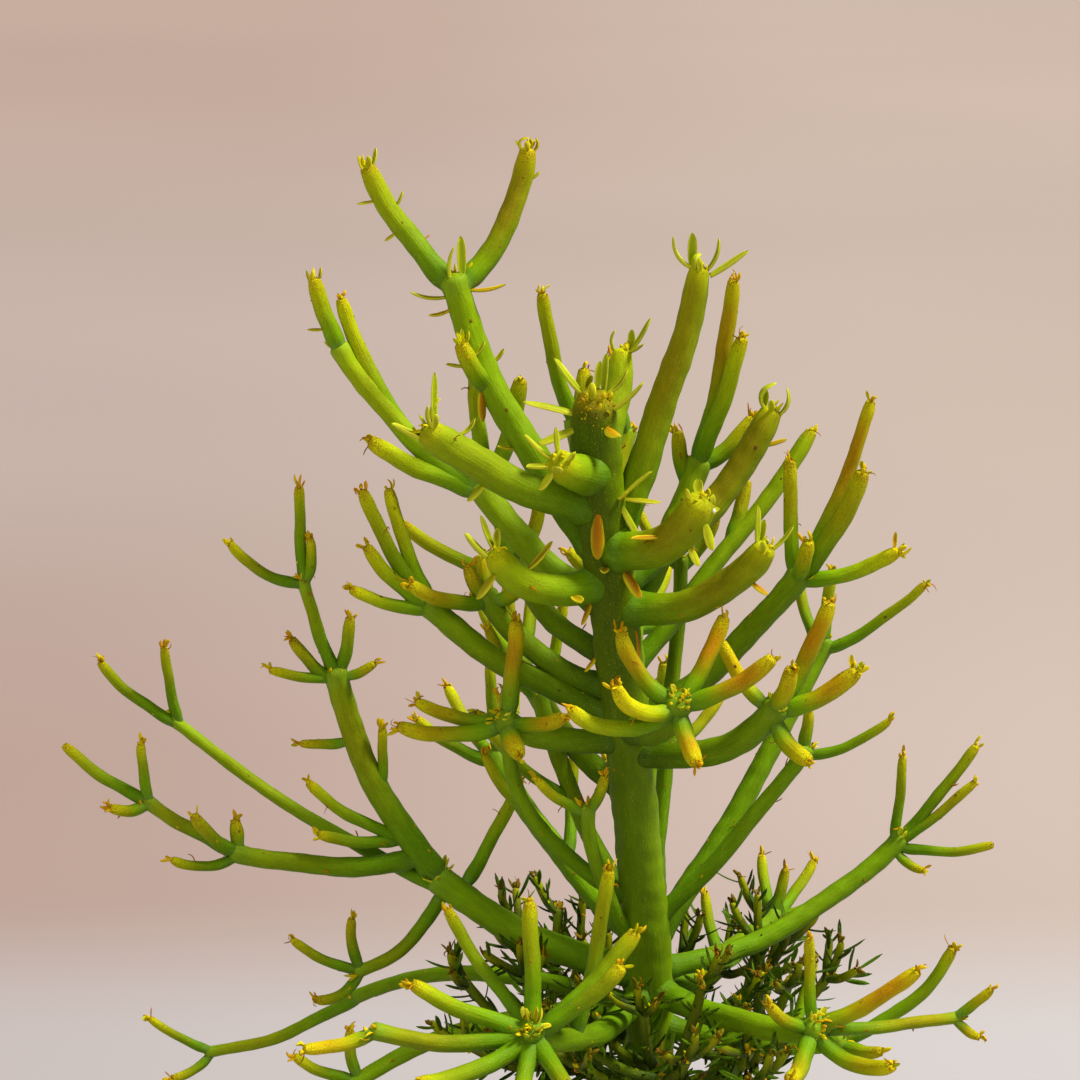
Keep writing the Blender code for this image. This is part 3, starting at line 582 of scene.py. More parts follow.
def rod(form, path, radii, tint_of, sides, dome=0.5, seed=0.0, dry_of=None):
    """Skins a rod: rings square to its path, then a rounded end, dome times its radius high."""
    angle = np.arange(sides) * 2 * math.pi / sides
    bulge = np.radians(np.linspace(0, 90, 7)[1:-1])
    last = radii[-1]
    rise = np.sin(bulge) * last * dome
    centres = np.vstack([path.points, path.points[-1] + np.outer(rise, path.ahead[-1])])
    radii = np.concatenate([radii, last * np.cos(bulge)])
    along = np.concatenate([path.along, path.length + rise])
    side = np.vstack([path.side, np.repeat(path.side[-1:], 5, 0)])
    normal = np.vstack([path.normal, np.repeat(path.normal[-1:], 5, 0)])
    uneven = 1 + 0.018 * np.sin(3 * angle + seed + along[:, None] * 0.21)
    uneven = uneven + 0.016 * np.sin(2 * angle - seed * 2 + along[:, None] * 0.47)
    uneven = uneven + 0.014 * np.sin(along[:, None] * 1.1 + seed * 3 + 2 * np.sin(angle + seed))
    out = np.cos(angle)[:, None] * side[:, None] + np.sin(angle)[:, None] * normal[:, None]
    reach = (radii[:, None] * uneven)[..., None]
    rings = centres[:, None] + out * reach
    wide = radii.max()
    grain = np.empty_like(rings)
    grain[..., 0] = np.cos(angle) * wide + seed * 31
    grain[..., 1] = np.sin(angle) * wide
    grain[..., 2] = along[:, None] + seed * 17
    # How much each point faces SUN_SIDE: the tints use it for the sun flush and for painted light
    # and shade across the rod.
    sunny = np.clip((out * SUN_SIDE).sum(-1) * 0.75 + 0.35, 0, 1)
    tint = tint_of(along, sunny)
    dry = 0.0 if dry_of is None else np.broadcast_to(dry_of(along)[:, None], rings.shape[:2])
    form.skin(rings, tint, grain, dry)


def blade(
    form,
    base,
    first,
    last,
    length,
    width,
    rim,
    middle,
    back,
    cup=0.26,
    thick=0.4,
    rings=9,
    sides=12,
):
    """A small fleshy leaf: a blunt strap, narrow where it joins and channelled along its face.

    One that would reach past the part's own outline is left off.
    """
    share = np.linspace(0, 1, rings)
    first, last = first / np.linalg.norm(first), last / np.linalg.norm(last)
    ahead = first + (last - first) * share[:, None]
    ahead = ahead / np.linalg.norm(ahead, axis=1)[:, None]
    steps = (ahead[1:] + ahead[:-1]) / 2 * length / (rings - 1)
    points = base + np.vstack([np.zeros(3), np.cumsum(steps, 0)])
    bend = last - first
    face = bend - (bend @ first) * first
    if np.linalg.norm(face) < 0.05:
        face = UPRIGHT - first[2] * first + 0.01
    side = np.cross(first, face)
    side = side / np.linalg.norm(side)
    up = np.cross(side, ahead)
    blunt = np.sqrt(1 - 0.97 * np.clip((share - 0.5) / 0.5, 0, 1) ** 2.6)
    wide = width / 2 * (0.5 + 0.5 * np.sin(np.clip(share / 0.45, 0, 1) * math.pi / 2)) * blunt
    deep = thick * width / 2 * (1 - 0.5 * share) * blunt
    angle = (np.arange(sides) + 0.5) * 2 * math.pi / sides
    across = np.cos(angle)
    rise = np.sin(angle) * deep[:, None] + cup * width * (across**2) * (wide / wide.max())[:, None]
    width_at = across * wide[:, None]
    rings_at = points[:, None] + width_at[..., None] * side + rise[..., None] * up[:, None]
    if (rings_at < CAD_LOW).any() or (rings_at > CAD_HIGH).any():
        return
    edge = np.clip(np.abs(across) * 2.4 - 1.2, 0, 1)[:, None]
    inside = (np.sin(angle) > 0)[:, None]
    tint = np.where(inside, middle * (1 - edge) + rim * edge, back * (1 - edge) + rim * edge)
    paler = 0.35 * share[:, None, None] ** 3
    tint = tint * (1 - paler) + rim * paler
    along = np.repeat(share[:, None] * length, sides, 1)
    grain = np.stack([width_at, rise, along], -1) + base
    form.skin(rings_at, tint, grain)


def dry_thread(form, random, base, out, length):
    """A shrivelled leaf: a thin brown thread that curls over."""
    ahead = out + random.normal(0, 0.45, 3)
    ahead = ahead / np.linalg.norm(ahead)
    curl = ahead * 0.2 + random.normal(0, 0.9, 3)
    colour = between(ORANGE, RUST, random.rand()) * random.uniform(0.8, 1.3)
    colours = (colour, colour * 0.7, colour * 0.8)
    blade(form, base, ahead, curl, length, random.uniform(0.28, 0.5), *colours, 0.1, 0.8, 7, 5)


def on_tip(random, path, radius):
    """A spot on a rounded tip, and the way out from the middle of the stem there."""
    turn = random.uniform(0, 2 * math.pi)
    share = random.uniform(0.05, 0.95)
    out = math.cos(turn) * path.side[-1] + math.sin(turn) * path.normal[-1]
    rise = 0.6 * math.sqrt(1 - share**2)
    return path.points[-1] + (out * share + path.ahead[-1] * rise) * radius, out


def bud_scales(form, random, path, radius, count, young, shade=1.0):
    """The tiny scales and crumbs over a growing tip, and threads of the leaves it has dropped."""
    ahead = path.ahead[-1]
    for number in range(count):
        base, out = on_tip(random, path, radius)
        warm = random.uniform(0.0, 1) * (1 - young)
        rim = between(YELLOW, ORANGE, warm * 0.8) * shade
        middle = between(LIME, ORANGE, warm) * 1.1 * shade
        first = ahead * 0.8 + out * random.uniform(-0.1, 1.1)
        last = ahead * 0.5 - out * random.uniform(-0.9, 1.3) + random.normal(0, 0.35, 3)
        size = (random.uniform(1.0, 3.2), random.uniform(0.7, 1.25))
        blade(form, base, first, last, *size, rim, middle, rim * 0.8, 0.3, 0.6, 6, 8)
    for number in range(count * 4):
        colour = between(YELLOW, RUST, random.rand()) * random.uniform(0.7, 1.1) * shade
        crumb = lump(random, random.uniform(0.12, 0.30)) + on_tip(random, path, radius)[0]
        form.add(crumb, (PEBBLE_FACES,), colour)
    for number in range(random.randint(0, 3) if young < 0.8 else 0):
        base, out = on_tip(random, path, radius)
        dry_thread(form, random, base, ahead * 0.6 + out * 0.6, random.uniform(1.6, 4.0))


def leaf_scar(form, random, place, out, ahead, size):
    """The low corky pad left where a leaf fell."""
    side = np.cross(ahead, out)
    angle = np.arange(8) * math.pi / 4
    rings = []
    for share, lift in ((1.0, -0.25), (0.9, 0.05), (0.6, 0.2), (0.2, 0.16)):
        across = np.outer(np.cos(angle) * size * 0.72 * share, side)
        lengthways = np.outer(np.sin(angle) * size * share, ahead)
        rings.append(place + across + lengthways + out * size * lift)
    colour = between(YELLOW, DRY_BROWN, random.rand()) * random.uniform(0.5, 0.95)
    form.skin(rings, colour, None, 0.6)


trunk_random = np.random.RandomState(5)
trunk_form = Form()
trunk_levels = np.concatenate([np.linspace(-62, 218, 250), np.linspace(219, 227.5, 12)])
# The trunk's line comes from its table instead of from an arc, and every ring of it lies level.
trunk_path = Path(np.zeros(3), 90, 90, 90, 1.0, len(trunk_levels) - 1)
trunk_path.points = np.array([trunk_at(level)[0] for level in trunk_levels])
trunk_path.along = trunk_levels
trunk_path.length = trunk_levels[-1]
trunk_path.ahead = np.repeat([UPRIGHT], len(trunk_levels), 0)
trunk_path.side = np.repeat([(1.0, 0, 0)], len(trunk_levels), 0)
trunk_path.normal = np.repeat([(0, 1.0, 0)], len(trunk_levels), 0)
trunk_radii = np.array([trunk_at(level)[1] for level in trunk_levels])
trunk_radii *= 1 - 0.42 * np.clip((trunk_levels - 219) / 9, 0, 1) ** 2.2
for joint in TRUNK_JOINTS:
    trunk_radii += 0.16 * np.exp(-(((trunk_levels - joint) / 6) ** 2))


def trunk_tint(along, sunny):
    """Olive at the foot, deep green higher up with a painted lime highlight down one side, and
    brown at the buried end.
    """
    high = np.clip(along / 228, 0, 1)[:, None, None]
    shaded = 1 - sunny[..., None]
    base = between(GREEN * 1.25, DEEP_GREEN * 0.8, np.clip(high * 1.3, 0, 1))
    base = between(base, OLIVE_FLUSH * 0.8, 0.28 * sunny[..., None] * (1 - high) + 0.06 * high)
    # Painted highlight: a lime band down the side turned away from SUN_SIDE, where the right edge
    # catches the light.
    base = between(base, between(GREEN, LIME, 0.7), np.clip(0.75 * shaded**1.6, 0, 0.6))
    fresh = np.clip((along - 224) / 3, 0, 0.6)[:, None, None]
    buried = np.clip((-12 - along) / 10, 0, 1)[:, None, None]
    base = between(base, between(LIME, YELLOW, 0.3), fresh)
    return between(base, DRY_BROWN * 0.9, buried)


rod(
    trunk_form,
    trunk_path,
    trunk_radii,
    trunk_tint,
    48,
    0.12,
    2.0,
    lambda along: np.clip((along - 219) / 7, 0, 0.95),
)
for depth, heading, leaving, final, length, base, tip in ROOTS:
    root_path = Path(trunk_at(-depth)[0], heading, leaving, final, length, 24, 0.8, depth)
    rod(
        trunk_form,
        root_path,
        between(base, tip, root_path.share) / 2,
        lambda along, sunny: np.ones(sunny.shape + (1,)) * DRY_BROWN,
        12,
        0.8,
        depth,
    )
for number in range(TRUNK_SCARS):
    level = trunk_random.uniform(6, 222)
    out = heading_of(number * SPIRAL + trunk_random.uniform(-20, 20), 0)
    centre, radius = trunk_at(level)
    place = centre + out * radius * 0.985
    size = trunk_random.uniform(0.5, 0.95)
    leaf_scar(trunk_form, trunk_random, place, out, UPRIGHT, size)
for number in range(TOP_LEAVES):
    out = heading_of(number * SPIRAL + trunk_random.uniform(-20, 20), 0)
    centre, radius = trunk_at(trunk_random.uniform(220, 227.5))
    colour = between(YELLOW * 0.9, RUST, trunk_random.rand() ** 2)
    first = out * trunk_random.uniform(0.1, 0.7) + (0, 0, 1)
    last = (0, 0, 0.6) - out * trunk_random.uniform(0.1, 0.9) + trunk_random.normal(0, 0.4, 3)
    size = (trunk_random.uniform(1.0, 2.6), trunk_random.uniform(0.7, 1.5))
    seat = centre + out * radius * trunk_random.uniform(0.55, 0.97)
    colours = (colour, colour * 0.75, colour * 0.8)
    blade(trunk_form, seat, first, last, *size, *colours, 0.25, 0.5, 6, 8)
for number in range(TOP_CRUMBS):
    out = heading_of(trunk_random.uniform(0, 360), 0)
    level = 227 - 7 * trunk_random.rand() ** 3
    centre, _ = trunk_at(level)
    radius = np.interp(level, trunk_levels, trunk_radii)
    colour = between(YELLOW, RUST, trunk_random.rand()) * trunk_random.uniform(0.7, 1.1)
    crumb = lump(trunk_random, trunk_random.uniform(0.12, 0.34)) + centre + out * radius * 0.99
    trunk_form.add(crumb, (PEBBLE_FACES,), colour)
trunk_form.piece("rooted_trunk", "trunk_skin", trunk_wax, "trunk")


# The branches: whorls of pencil-thin succulent stems, each branch one piece grown from the trunk.
# A joint shows as a slight crease with a bluish bloom, and tips end in scales and dry threads.

# Each stem is an arc in an upright plane and a row of this table:
#   what carries it ("trunk", or the number of an earlier stem of the same branch),
#   where (millimetres above the collar, or the share of the way along that stem),
#   heading (0 is right, 90 is back, 180 is left, 270 is front), leaving pitch, final pitch,
#   length, base diameter, tip diameter.
BRANCHES = {
    # Crown: the short thick branches round the trunk's top.
    "crown_left": (
        ("trunk", 198, 194, 16, 42, 49, 8.2, 7.8),
    ),
    "crown_front_stub": (
        ("trunk", 208, 240, 5, 40, 21, 8.8, 8.0),
    ),
    "crown_front_right": (
        ("trunk", 189, 320, -4, 68, 36, 9.2, 9.2),
    ),
    "crown_right": (
        ("trunk", 173, 340, -4, 60, 45, 7.8, 7.2),
    ),
    "crown_front_left": (
        ("trunk", 181, 207, -22, 60, 36, 8.0, 7.2),
    ),
    "crown_tall_right": (
        ("trunk", 188, 25, 62, 79, 71, 8.2, 5.8),
    ),
    "crown_right_back": (
        ("trunk", 178, 29, 17, 62, 60, 7.0, 6.8),
    ),
    "crown_tall_left": (
        ("trunk", 185, 150, 40, 72, 77, 8.0, 6.4),
        (0, 0.97, 153, 35, 62, 37, 5.6, 4.8),
        (0, 0.97, 38, 30, 80, 39, 5.6, 5.0),
        (0, 0.63, 200, 42, 72, 16, 4.8, 4.4),
    ),
    "crown_left_back": (
        ("trunk", 172, 149, 14, 51, 45, 7.0, 6.4),
        (0, 0.97, 172, 14, 32, 31, 4.8, 4.4),
        (0, 0.97, 160, 24, 58, 51, 5.2, 4.6),
        (2, 0.97, 170, 62, 78, 20, 4.4, 4.0),
        (2, 0.42, 150, 44, 72, 40, 4.2, 3.6),
        (0, 0.97, 110, 66, 92, 36, 4.0, 3.6),
        (0, 0.97, 20, 62, 82, 30, 4.4, 4.2),
    ),
    "crown_back_right": (
        ("trunk", 166, 50, 34, 62, 47, 6.6, 6.0),
        (0, 0.97, 25, 72, 86, 48, 4.8, 3.6),
        (0, 0.97, 350, 70, 76, 36, 4.4, 3.8),
        (0, 0.85, 120, 55, 80, 15, 4.0, 3.6),
        (0, 0.97, 20, 20, 55, 19, 4.2, 3.8),
    ),
    "crown_stub_back": (
        ("trunk", 203, 76, 30, 64, 37, 6.6, 6.2),
    ),
    "crown_back": (
        ("trunk", 160, 105, 38, 62, 61, 6.4, 5.8),
        (0, 0.97, 165, 66, 84, 36, 4.0, 3.4),
        (0, 0.97, 80, 40, 70, 16, 4.4, 4.0),
        (0, 0.60, 60, 20, 60, 26, 4.4, 3.8),
        (3, 0.97, 165, 64, 90, 21, 3.8, 3.4),
    ),
    "crown_far_right": (
        ("trunk", 154, 36, 34, 48, 78, 5.0, 3.9),
        (0, 0.55, 60, 45, 70, 17, 4.0, 3.4),
    ),
    # Middle tier: longer branches, each ending in a whorl of pencil-thin stems.
    "middle_left": (
        ("trunk", 139, 196, -14, 42, 34, 6.2, 5.8),
        (0, 0.96, 184, -26, 24, 27, 4.2, 3.6),
        (0, 0.96, 160, -15, 22, 24, 3.8, 3.2),
        (0, 0.96, 50, 76, 88, 26, 4.2, 3.8),
        (0, 0.96, 330, -2, 36, 17, 4.0, 3.6),
        (0, 0.96, 285, -40, 5, 12, 5.0, 4.6),
    ),
    "middle_front": (
        ("trunk", 141, 295, 6, 60, 34, 6.6, 6.0),
        (0, 0.96, 165, 22, 78, 23, 4.2, 3.8),
        (0, 0.96, 40, 40, 66, 24, 4.0, 3.8),
        (0, 0.96, 352, 16, 48, 26, 4.4, 4.0),
        (0, 0.96, 212, -16, 70, 22, 4.2, 3.6),
        (0, 0.96, 205, -32, 50, 31, 4.2, 3.6),
        (0, 0.96, 288, -60, -12, 16, 4.4, 4.2),
    ),
    "middle_right": (
        ("trunk", 135, 335, -8, 60, 45, 6.8, 6.4),
        (0, 0.96, 355, 12, 48, 23, 4.6, 4.4),
        (0, 0.96, 300, 50, 76, 16, 4.2, 4.0),
        (0, 0.96, 20, 50, 74, 30, 4.4, 4.0),
        (0, 0.96, 310, -68, 0, 16, 4.2, 4.2),
        (0, 0.96, 150, 28, 66, 21, 3.6, 3.2),
    ),
    "middle_right_back": (
        ("trunk", 140, 12, 28, 54, 57, 6.4, 5.8),
        (0, 0.97, 110, 74, 86, 30, 3.6, 3.4),
        (0, 0.97, 290, 48, 76, 15, 4.0, 3.6),
        (0, 0.97, 355, 50, 74, 33, 4.9, 4.4),
        (0, 0.97, 25, 56, 76, 48, 4.0, 3.0),
        (0, 0.97, 348, 6, 38, 27, 3.8, 3.6),
    ),
    "middle_left_upper": (
        ("trunk", 151, 156, -5, 58, 43, 5.8, 5.4),
        (0, 0.96, 212, 4, 42, 25, 3.9, 3.5),
        (0, 0.96, 205, 45, 75, 12, 3.8, 3.4),
        (0, 0.96, 335, 15, 60, 14, 3.8, 3.4),
        (0, 0.96, 110, 45, 70, 12, 3.6, 3.2),
    ),
    "middle_left_lower": (
        ("trunk", 143, 167, 12, 42, 56, 6.2, 5.6),
        (0, 0.97, 190, 6, 32, 22, 3.4, 3.0),
        (0, 0.97, 182, 30, 62, 24, 3.8, 3.4),
        (0, 0.97, 163, 46, 70, 35, 3.8, 3.4),
        (0, 0.97, 142, 52, 74, 32, 3.6, 3.2),
    ),
    "middle_back_left": (
        ("trunk", 158, 130, -8, 42, 43, 5.6, 5.2),
        (0, 0.97, 168, -4, 42, 32, 3.8, 3.4),
        (0, 0.97, 60, 40, 70, 20, 3.8, 3.4),
        (0, 0.97, 110, 20, 60, 30, 3.8, 3.4),
    ),
    "middle_back": (
        ("trunk", 143, 92, 0, 50, 48, 6.4, 5.8),
        (0, 0.97, 165, 10, 50, 15, 4.0, 3.6),
        (0, 0.97, 95, 5, 50, 30, 4.0, 3.6),
        (0, 0.97, 40, 10, 55, 26, 4.0, 3.6),
        (0, 0.97, 70, 65, 85, 24, 4.0, 3.6),
    ),
    "middle_back_right": (
        ("trunk", 129, 88, -5, 38, 56, 6.2, 5.4),
        (0, 0.97, 110, 5, 50, 24, 4.0, 3.6),
        (0, 0.97, 65, 0, 45, 26, 4.0, 3.6),
        (0, 0.97, 20, 5, 50, 22, 4.0, 3.6),
        (0, 0.97, 75, 60, 84, 24, 3.8, 3.4),
    ),
    "middle_far_left": (
        ("trunk", 122, 122, -6, 38, 58, 6.0, 5.4),
        (0, 0.97, 165, 5, 45, 26, 3.8, 3.4),
        (0, 0.97, 120, 5, 50, 28, 3.8, 3.4),
        (0, 0.97, 80, 20, 60, 24, 3.8, 3.4),
        (0, 0.97, 130, 65, 84, 22, 3.6, 3.2),
    ),
    # Low tier: the long branches that spread from just above the soil.
    "low_left": (
        ("trunk", 71, 165, 0, 38, 60, 7.8, 7.2),
        (0, 0.97, 167, 48, 80, 64, 7.0, 5.8),
        (1, 0.97, 182, 70, 78, 28, 3.4, 3.0),
        (2, 0.97, 186, 8, 58, 22, 2.8, 2.6),
        (2, 0.97, 150, 86, 92, 26, 3.0, 2.6),
        (2, 0.97, 350, 62, 100, 13, 2.8, 2.4),
        (1, 0.97, 20, 68, 86, 17, 3.4, 3.0),
        (1, 0.94, 190, 40, 60, 18, 3.2, 3.0),
        (1, 0.97, 200, 10, 24, 18, 2.8, 2.4),
        (1, 0.97, 352, 15, 40, 11, 2.6, 2.4),
        (1, 0.70, 190, -8, 10, 14, 2.8, 2.4),
        (1, 0.45, 60, 80, 92, 19, 2.8, 2.4),
        (1, 0.22, 186, 20, 50, 32, 3.4, 2.8),
        (1, 0.24, 195, -6, 26, 24, 3.4, 2.8),
        (0, 0.86, 168, 20, 39, 89, 3.8, 3.0),
        (14, 0.97, 186, 30, 58, 27, 3.0, 2.6),
        (14, 0.97, 170, 76, 88, 22, 2.8, 2.4),
        (1, 0.14, 190, -8, 22, 49, 5.4, 4.6),
        (17, 0.97, 175, 24, 38, 27, 3.8, 3.4),
        (18, 0.97, 175, 26, 46, 26, 3.2, 2.8),
        (18, 0.97, 170, 78, 92, 17, 2.8, 2.4),
        (18, 0.97, 205, -25, 35, 11, 3.2, 2.8),
        (17, 0.97, 205, 34, 64, 18, 3.6, 3.2),
        (17, 0.97, 120, 70, 84, 9, 3.6, 3.2),
        (17, 0.97, 204, -26, 40, 19, 2.8, 2.4),
        (0, 0.97, 200, -75, -8, 34, 3.8, 3.2),
        (25, 0.97, 184, 12, 46, 20, 2.8, 2.4),
        (25, 0.97, 150, 60, 100, 15, 3.0, 2.6),
        (25, 0.97, 218, -60, 30, 16, 3.0, 2.6),
        (0, 0.90, 45, 34, 62, 34, 3.8, 3.2),
    ),
    "low_left_hook": (
        ("trunk", 58, 203, 25, -25, 84, 4.8, 3.8),
        (0, 0.97, 186, 8, 45, 18, 3.0, 2.6),
        (0, 0.97, 150, 60, 100, 14, 3.0, 2.6),
        (0, 0.97, 222, -60, 12, 14, 3.0, 2.6),
    ),
    "low_left_droop": (
        ("trunk", 59, 157, 14, -34, 88, 4.8, 3.6),
        (0, 0.98, 172, -40, -14, 49, 3.5, 3.0),
        (1, 0.98, 180, 22, 42, 20, 2.6, 2.2),
        (1, 0.98, 214, -48, 12, 14, 2.6, 2.4),
    ),
    "low_front_left": (
        ("trunk", 52, 222, -30, 5, 84, 5.4, 4.6),
        (0, 0.70, 182, 0, 40, 26, 3.6, 3.2),
        (0, 0.97, 245, 5, 50, 22, 3.6, 3.2),
        (0, 0.97, 190, 10, 50, 22, 3.6, 3.2),
    ),
    "low_front": (
        ("trunk", 67, 240, -8, 44, 66, 6.2, 5.6),
        (0, 0.96, 95, 62, 72, 31, 4.2, 3.8),
        (0, 0.96, 137, 28, 48, 36, 3.4, 3.0),
        (0, 0.96, 184, 18, 36, 32, 4.2, 3.8),
        (0, 0.96, 193, -8, 26, 39, 4.4, 4.0),
        (4, 0.98, 200, -16, 10, 18, 3.4, 3.0),
        (0, 0.96, 219, -20, 20, 35, 4.4, 4.0),
        (0, 0.96, 296, -30, 18, 29, 4.4, 3.8),
        (0, 0.96, 5, 28, 50, 27, 4.4, 3.8),
        (0, 0.94, 28, 26, 48, 34, 4.8, 4.4),
        (0, 0.96, 258, -35, 15, 28, 4.4, 3.8),
        (0, 0.62, 40, 70, 82, 44, 3.8, 3.4),
    ),
    "low_front_right": (
        ("trunk", 68, 316, -8, 29, 56, 6.4, 5.8),
        (0, 0.97, 205, 18, 58, 16, 3.4, 3.0),
        (0, 0.97, 100, 68, 84, 23, 3.0, 2.6),
        (0, 0.97, 358, 24, 44, 30, 4.2, 3.6),
        (0, 0.97, 14, -9, 2, 38, 3.4, 2.8),
        (4, 0.97, 0, 35, 50, 12, 2.6, 2.4),
        (4, 0.97, 320, -40, 0, 8, 2.4, 2.2),
        (0, 0.97, 322, -44, 36, 25, 4.2, 3.8),
        (0, 0.97, 252, -32, 30, 24, 4.4, 4.0),
    ),
    "low_right_lower": (
        ("trunk", 57, 345, -14, 18, 50, 5.6, 5.0),
        (0, 0.97, 8, 12, 68, 40, 3.6, 3.0),
        (0, 0.72, 60, 36, 66, 23, 3.2, 2.8),
        (0, 0.97, 322, -10, 30, 14, 3.6, 3.2),
    ),
    "low_right": (
        ("trunk", 72, 22, -6, 42, 77, 5.6, 4.8),
        (0, 0.97, 60, 78, 88, 25, 2.8, 2.4),
        (0, 0.97, 14, 46, 56, 34, 3.2, 2.8),
        (0, 0.97, 4, 36, 46, 27, 2.8, 2.4),
        (0, 0.97, 346, -8, 24, 26, 2.8, 2.4),
        (0, 0.97, 318, -56, 12, 11, 2.6, 2.2),
    ),
    "low_right_back": (
        ("trunk", 78, 44, 38, 52, 92, 6.4, 4.8),
        (0, 0.97, 358, 24, 50, 33, 3.2, 2.4),
        (0, 0.97, 60, 70, 84, 22, 3.4, 3.0),
        (0, 0.97, 110, 30, 60, 22, 3.2, 2.8),
    ),
    "low_right_slim": (
        ("trunk", 84, 8, 44, 56, 62, 4.6, 3.8),
        (0, 0.97, 358, 5, 46, 24, 2.8, 2.2),
        (0, 0.97, 60, 66, 84, 12, 3.2, 2.8),
    ),
    "low_back_right": (
        ("trunk", 63, 46, -4, 14, 50, 5.6, 4.8),
        (0, 0.97, 5, 5, 45, 18, 3.2, 2.8),
        (0, 0.97, 50, 5, 45, 22, 3.2, 2.8),
        (0, 0.97, 95, 10, 50, 20, 3.2, 2.8),
        (0, 0.97, 50, 50, 76, 14, 3.2, 2.8),
        (0, 0.55, 100, 10, 50, 20, 3.2, 2.8),
    ),
    "low_back": (
        ("trunk", 74, 86, 2, 36, 78, 6.4, 5.6),
        (0, 0.97, 40, 5, 45, 26, 3.6, 3.2),
        (0, 0.97, 88, 5, 45, 28, 3.6, 3.2),
        (0, 0.97, 135, 5, 45, 26, 3.6, 3.2),
        (0, 0.97, 80, 65, 86, 26, 3.6, 3.2),
        (0, 0.50, 130, 30, 70, 32, 3.6, 3.2),
    ),
    "low_back_left": (
        ("trunk", 80, 121, -4, 34, 80, 6.2, 5.4),
        (0, 0.97, 80, 5, 45, 26, 3.6, 3.2),
        (0, 0.97, 124, 5, 45, 30, 3.6, 3.2),
        (0, 0.97, 168, 5, 45, 26, 3.6, 3.2),
        (0, 0.97, 115, 65, 86, 28, 3.4, 3.0),
        (0, 0.50, 85, 30, 70, 30, 3.4, 3.0),
    ),
    # Slim upright shoots that fill the space round the bare trunk.
    "shoot_front": (
        ("trunk", 77, 212, 48, 88, 51, 4.0, 3.4),
        (0, 0.97, 178, 20, 52, 16, 2.8, 2.4),
        (0, 0.97, 5, 55, 80, 11, 3.0, 2.6),
    ),
    "shoot_right": (
        ("trunk", 88, 70, 60, 88, 92, 4.4, 3.4),
        (0, 0.97, 30, 30, 66, 16, 3.0, 2.6),
        (0, 0.97, 150, 30, 66, 20, 3.0, 2.6),
    ),
    "shoot_left_back": (
        ("trunk", 84, 140, 42, 72, 66, 4.8, 4.2),
        (0, 0.97, 170, 40, 70, 24, 3.2, 2.8),
        (0, 0.97, 60, 50, 76, 26, 3.2, 2.8),
        (0, 0.55, 175, 30, 55, 34, 3.2, 2.8),
    ),
    "shoot_left": (
        ("trunk", 92, 180, 20, 92, 66, 4.4, 3.2),
        (0, 0.97, 200, 15, 45, 9, 2.8, 2.4),
        (0, 0.97, 100, 15, 45, 9, 2.8, 2.4),
        (0, 0.50, 150, 30, 60, 24, 3.0, 2.6),
    ),
}

# The undergrowth: four low branches whose thin twigs crowd round the foot of the trunk.
# Each has how many twigs are tried round it, every one with up to three more at its end, and the
# row of its main stem.
UNDERGROWTH = {
    "under_left": (70, ("trunk", 36, 172, 8, 34, 32, 4.6, 4.2)),
    "under_back": (46, ("trunk", 30, 92, 8, 34, 34, 4.6, 4.2)),
    "under_right": (78, ("trunk", 33, 14, 8, 34, 32, 4.6, 4.2)),
    "under_front": (80, ("trunk", 42, 278, 10, 44, 22, 4.6, 4.2)),
}
UNDER_SPREAD = 200  # the fan of headings that a branch's twigs share
TWIG_ROOM = 0.7  # clear space that a twig needs round it
NEAR = 14  # how far off a stem can be and still be in its way

# The stems whose tips carry leaves instead of bare bud scales, by branch.
LEAFY_TIPS = {
    "crown_left": {0},
    "crown_front_stub": {0},
    "crown_front_right": {0},
    "crown_right": {0},
    "crown_front_left": {0},
    "crown_tall_right": {0},
    "crown_right_back": {0},
    "crown_tall_left": {1, 2, 3},
    "crown_stub_back": {0},
    "crown_left_back": {3},
    "middle_right": {1},
    "middle_right_back": {5},
}


def arc_point(start, heading, leaving, final, length, share):
    """The point at a share of the way along an arc that begins at start."""
    count = 24
    point = start.copy()
    for i in range(round(count * share)):
        pitch = leaving + (final - leaving) * (i + 0.5) / count
        point += Vector(heading_of(heading, pitch)) * length / count
    return point


def stem_starts(rows):
    """Where each stem of a branch begins."""
    starts = []
    for carrier, where, *_ in rows:
        if carrier == "trunk":
            starts.append(trunk_spot(where)[0])
        else:
            starts.append(arc_point(starts[carrier], *rows[carrier][2:6], where))
    return starts


def beads(start, row, name):
    """Points along a stem: each with its radius, its branch, and whether its joint is close."""
    carrier, _, heading, leaving, final, length, base, tip = row
    count = max(3, round(length / 2))
    hidden = 6 if carrier == "trunk" else 0
    found = []
    for i in range(count + 1):
        share = i / count
        if share * length >= hidden:
            point = arc_point(start, heading, leaving, final, length, share)
            radius = (base + (tip - base) * share) / 2
            found.append((point, radius, name, share * length < 5))
    return found


def has_room(name, rows, row, standing):
    """Whether a stem would stay clear of everything but the joint that it grows from."""
    tree = kdtree.KDTree(len(standing))
    for i, (point, *_) in enumerate(standing):
        tree.insert(point, i)
    tree.balance()
    for point, radius, _, close in beads(stem_starts(rows + [row])[-1], row, name):
        for _, i, distance in tree.find_range(point, NEAR):
            _, other, branch, other_close = standing[i]
            joined = branch == name and (close or other_close)
            if not joined and distance < radius + other + TWIG_ROOM:
                return False
    return True


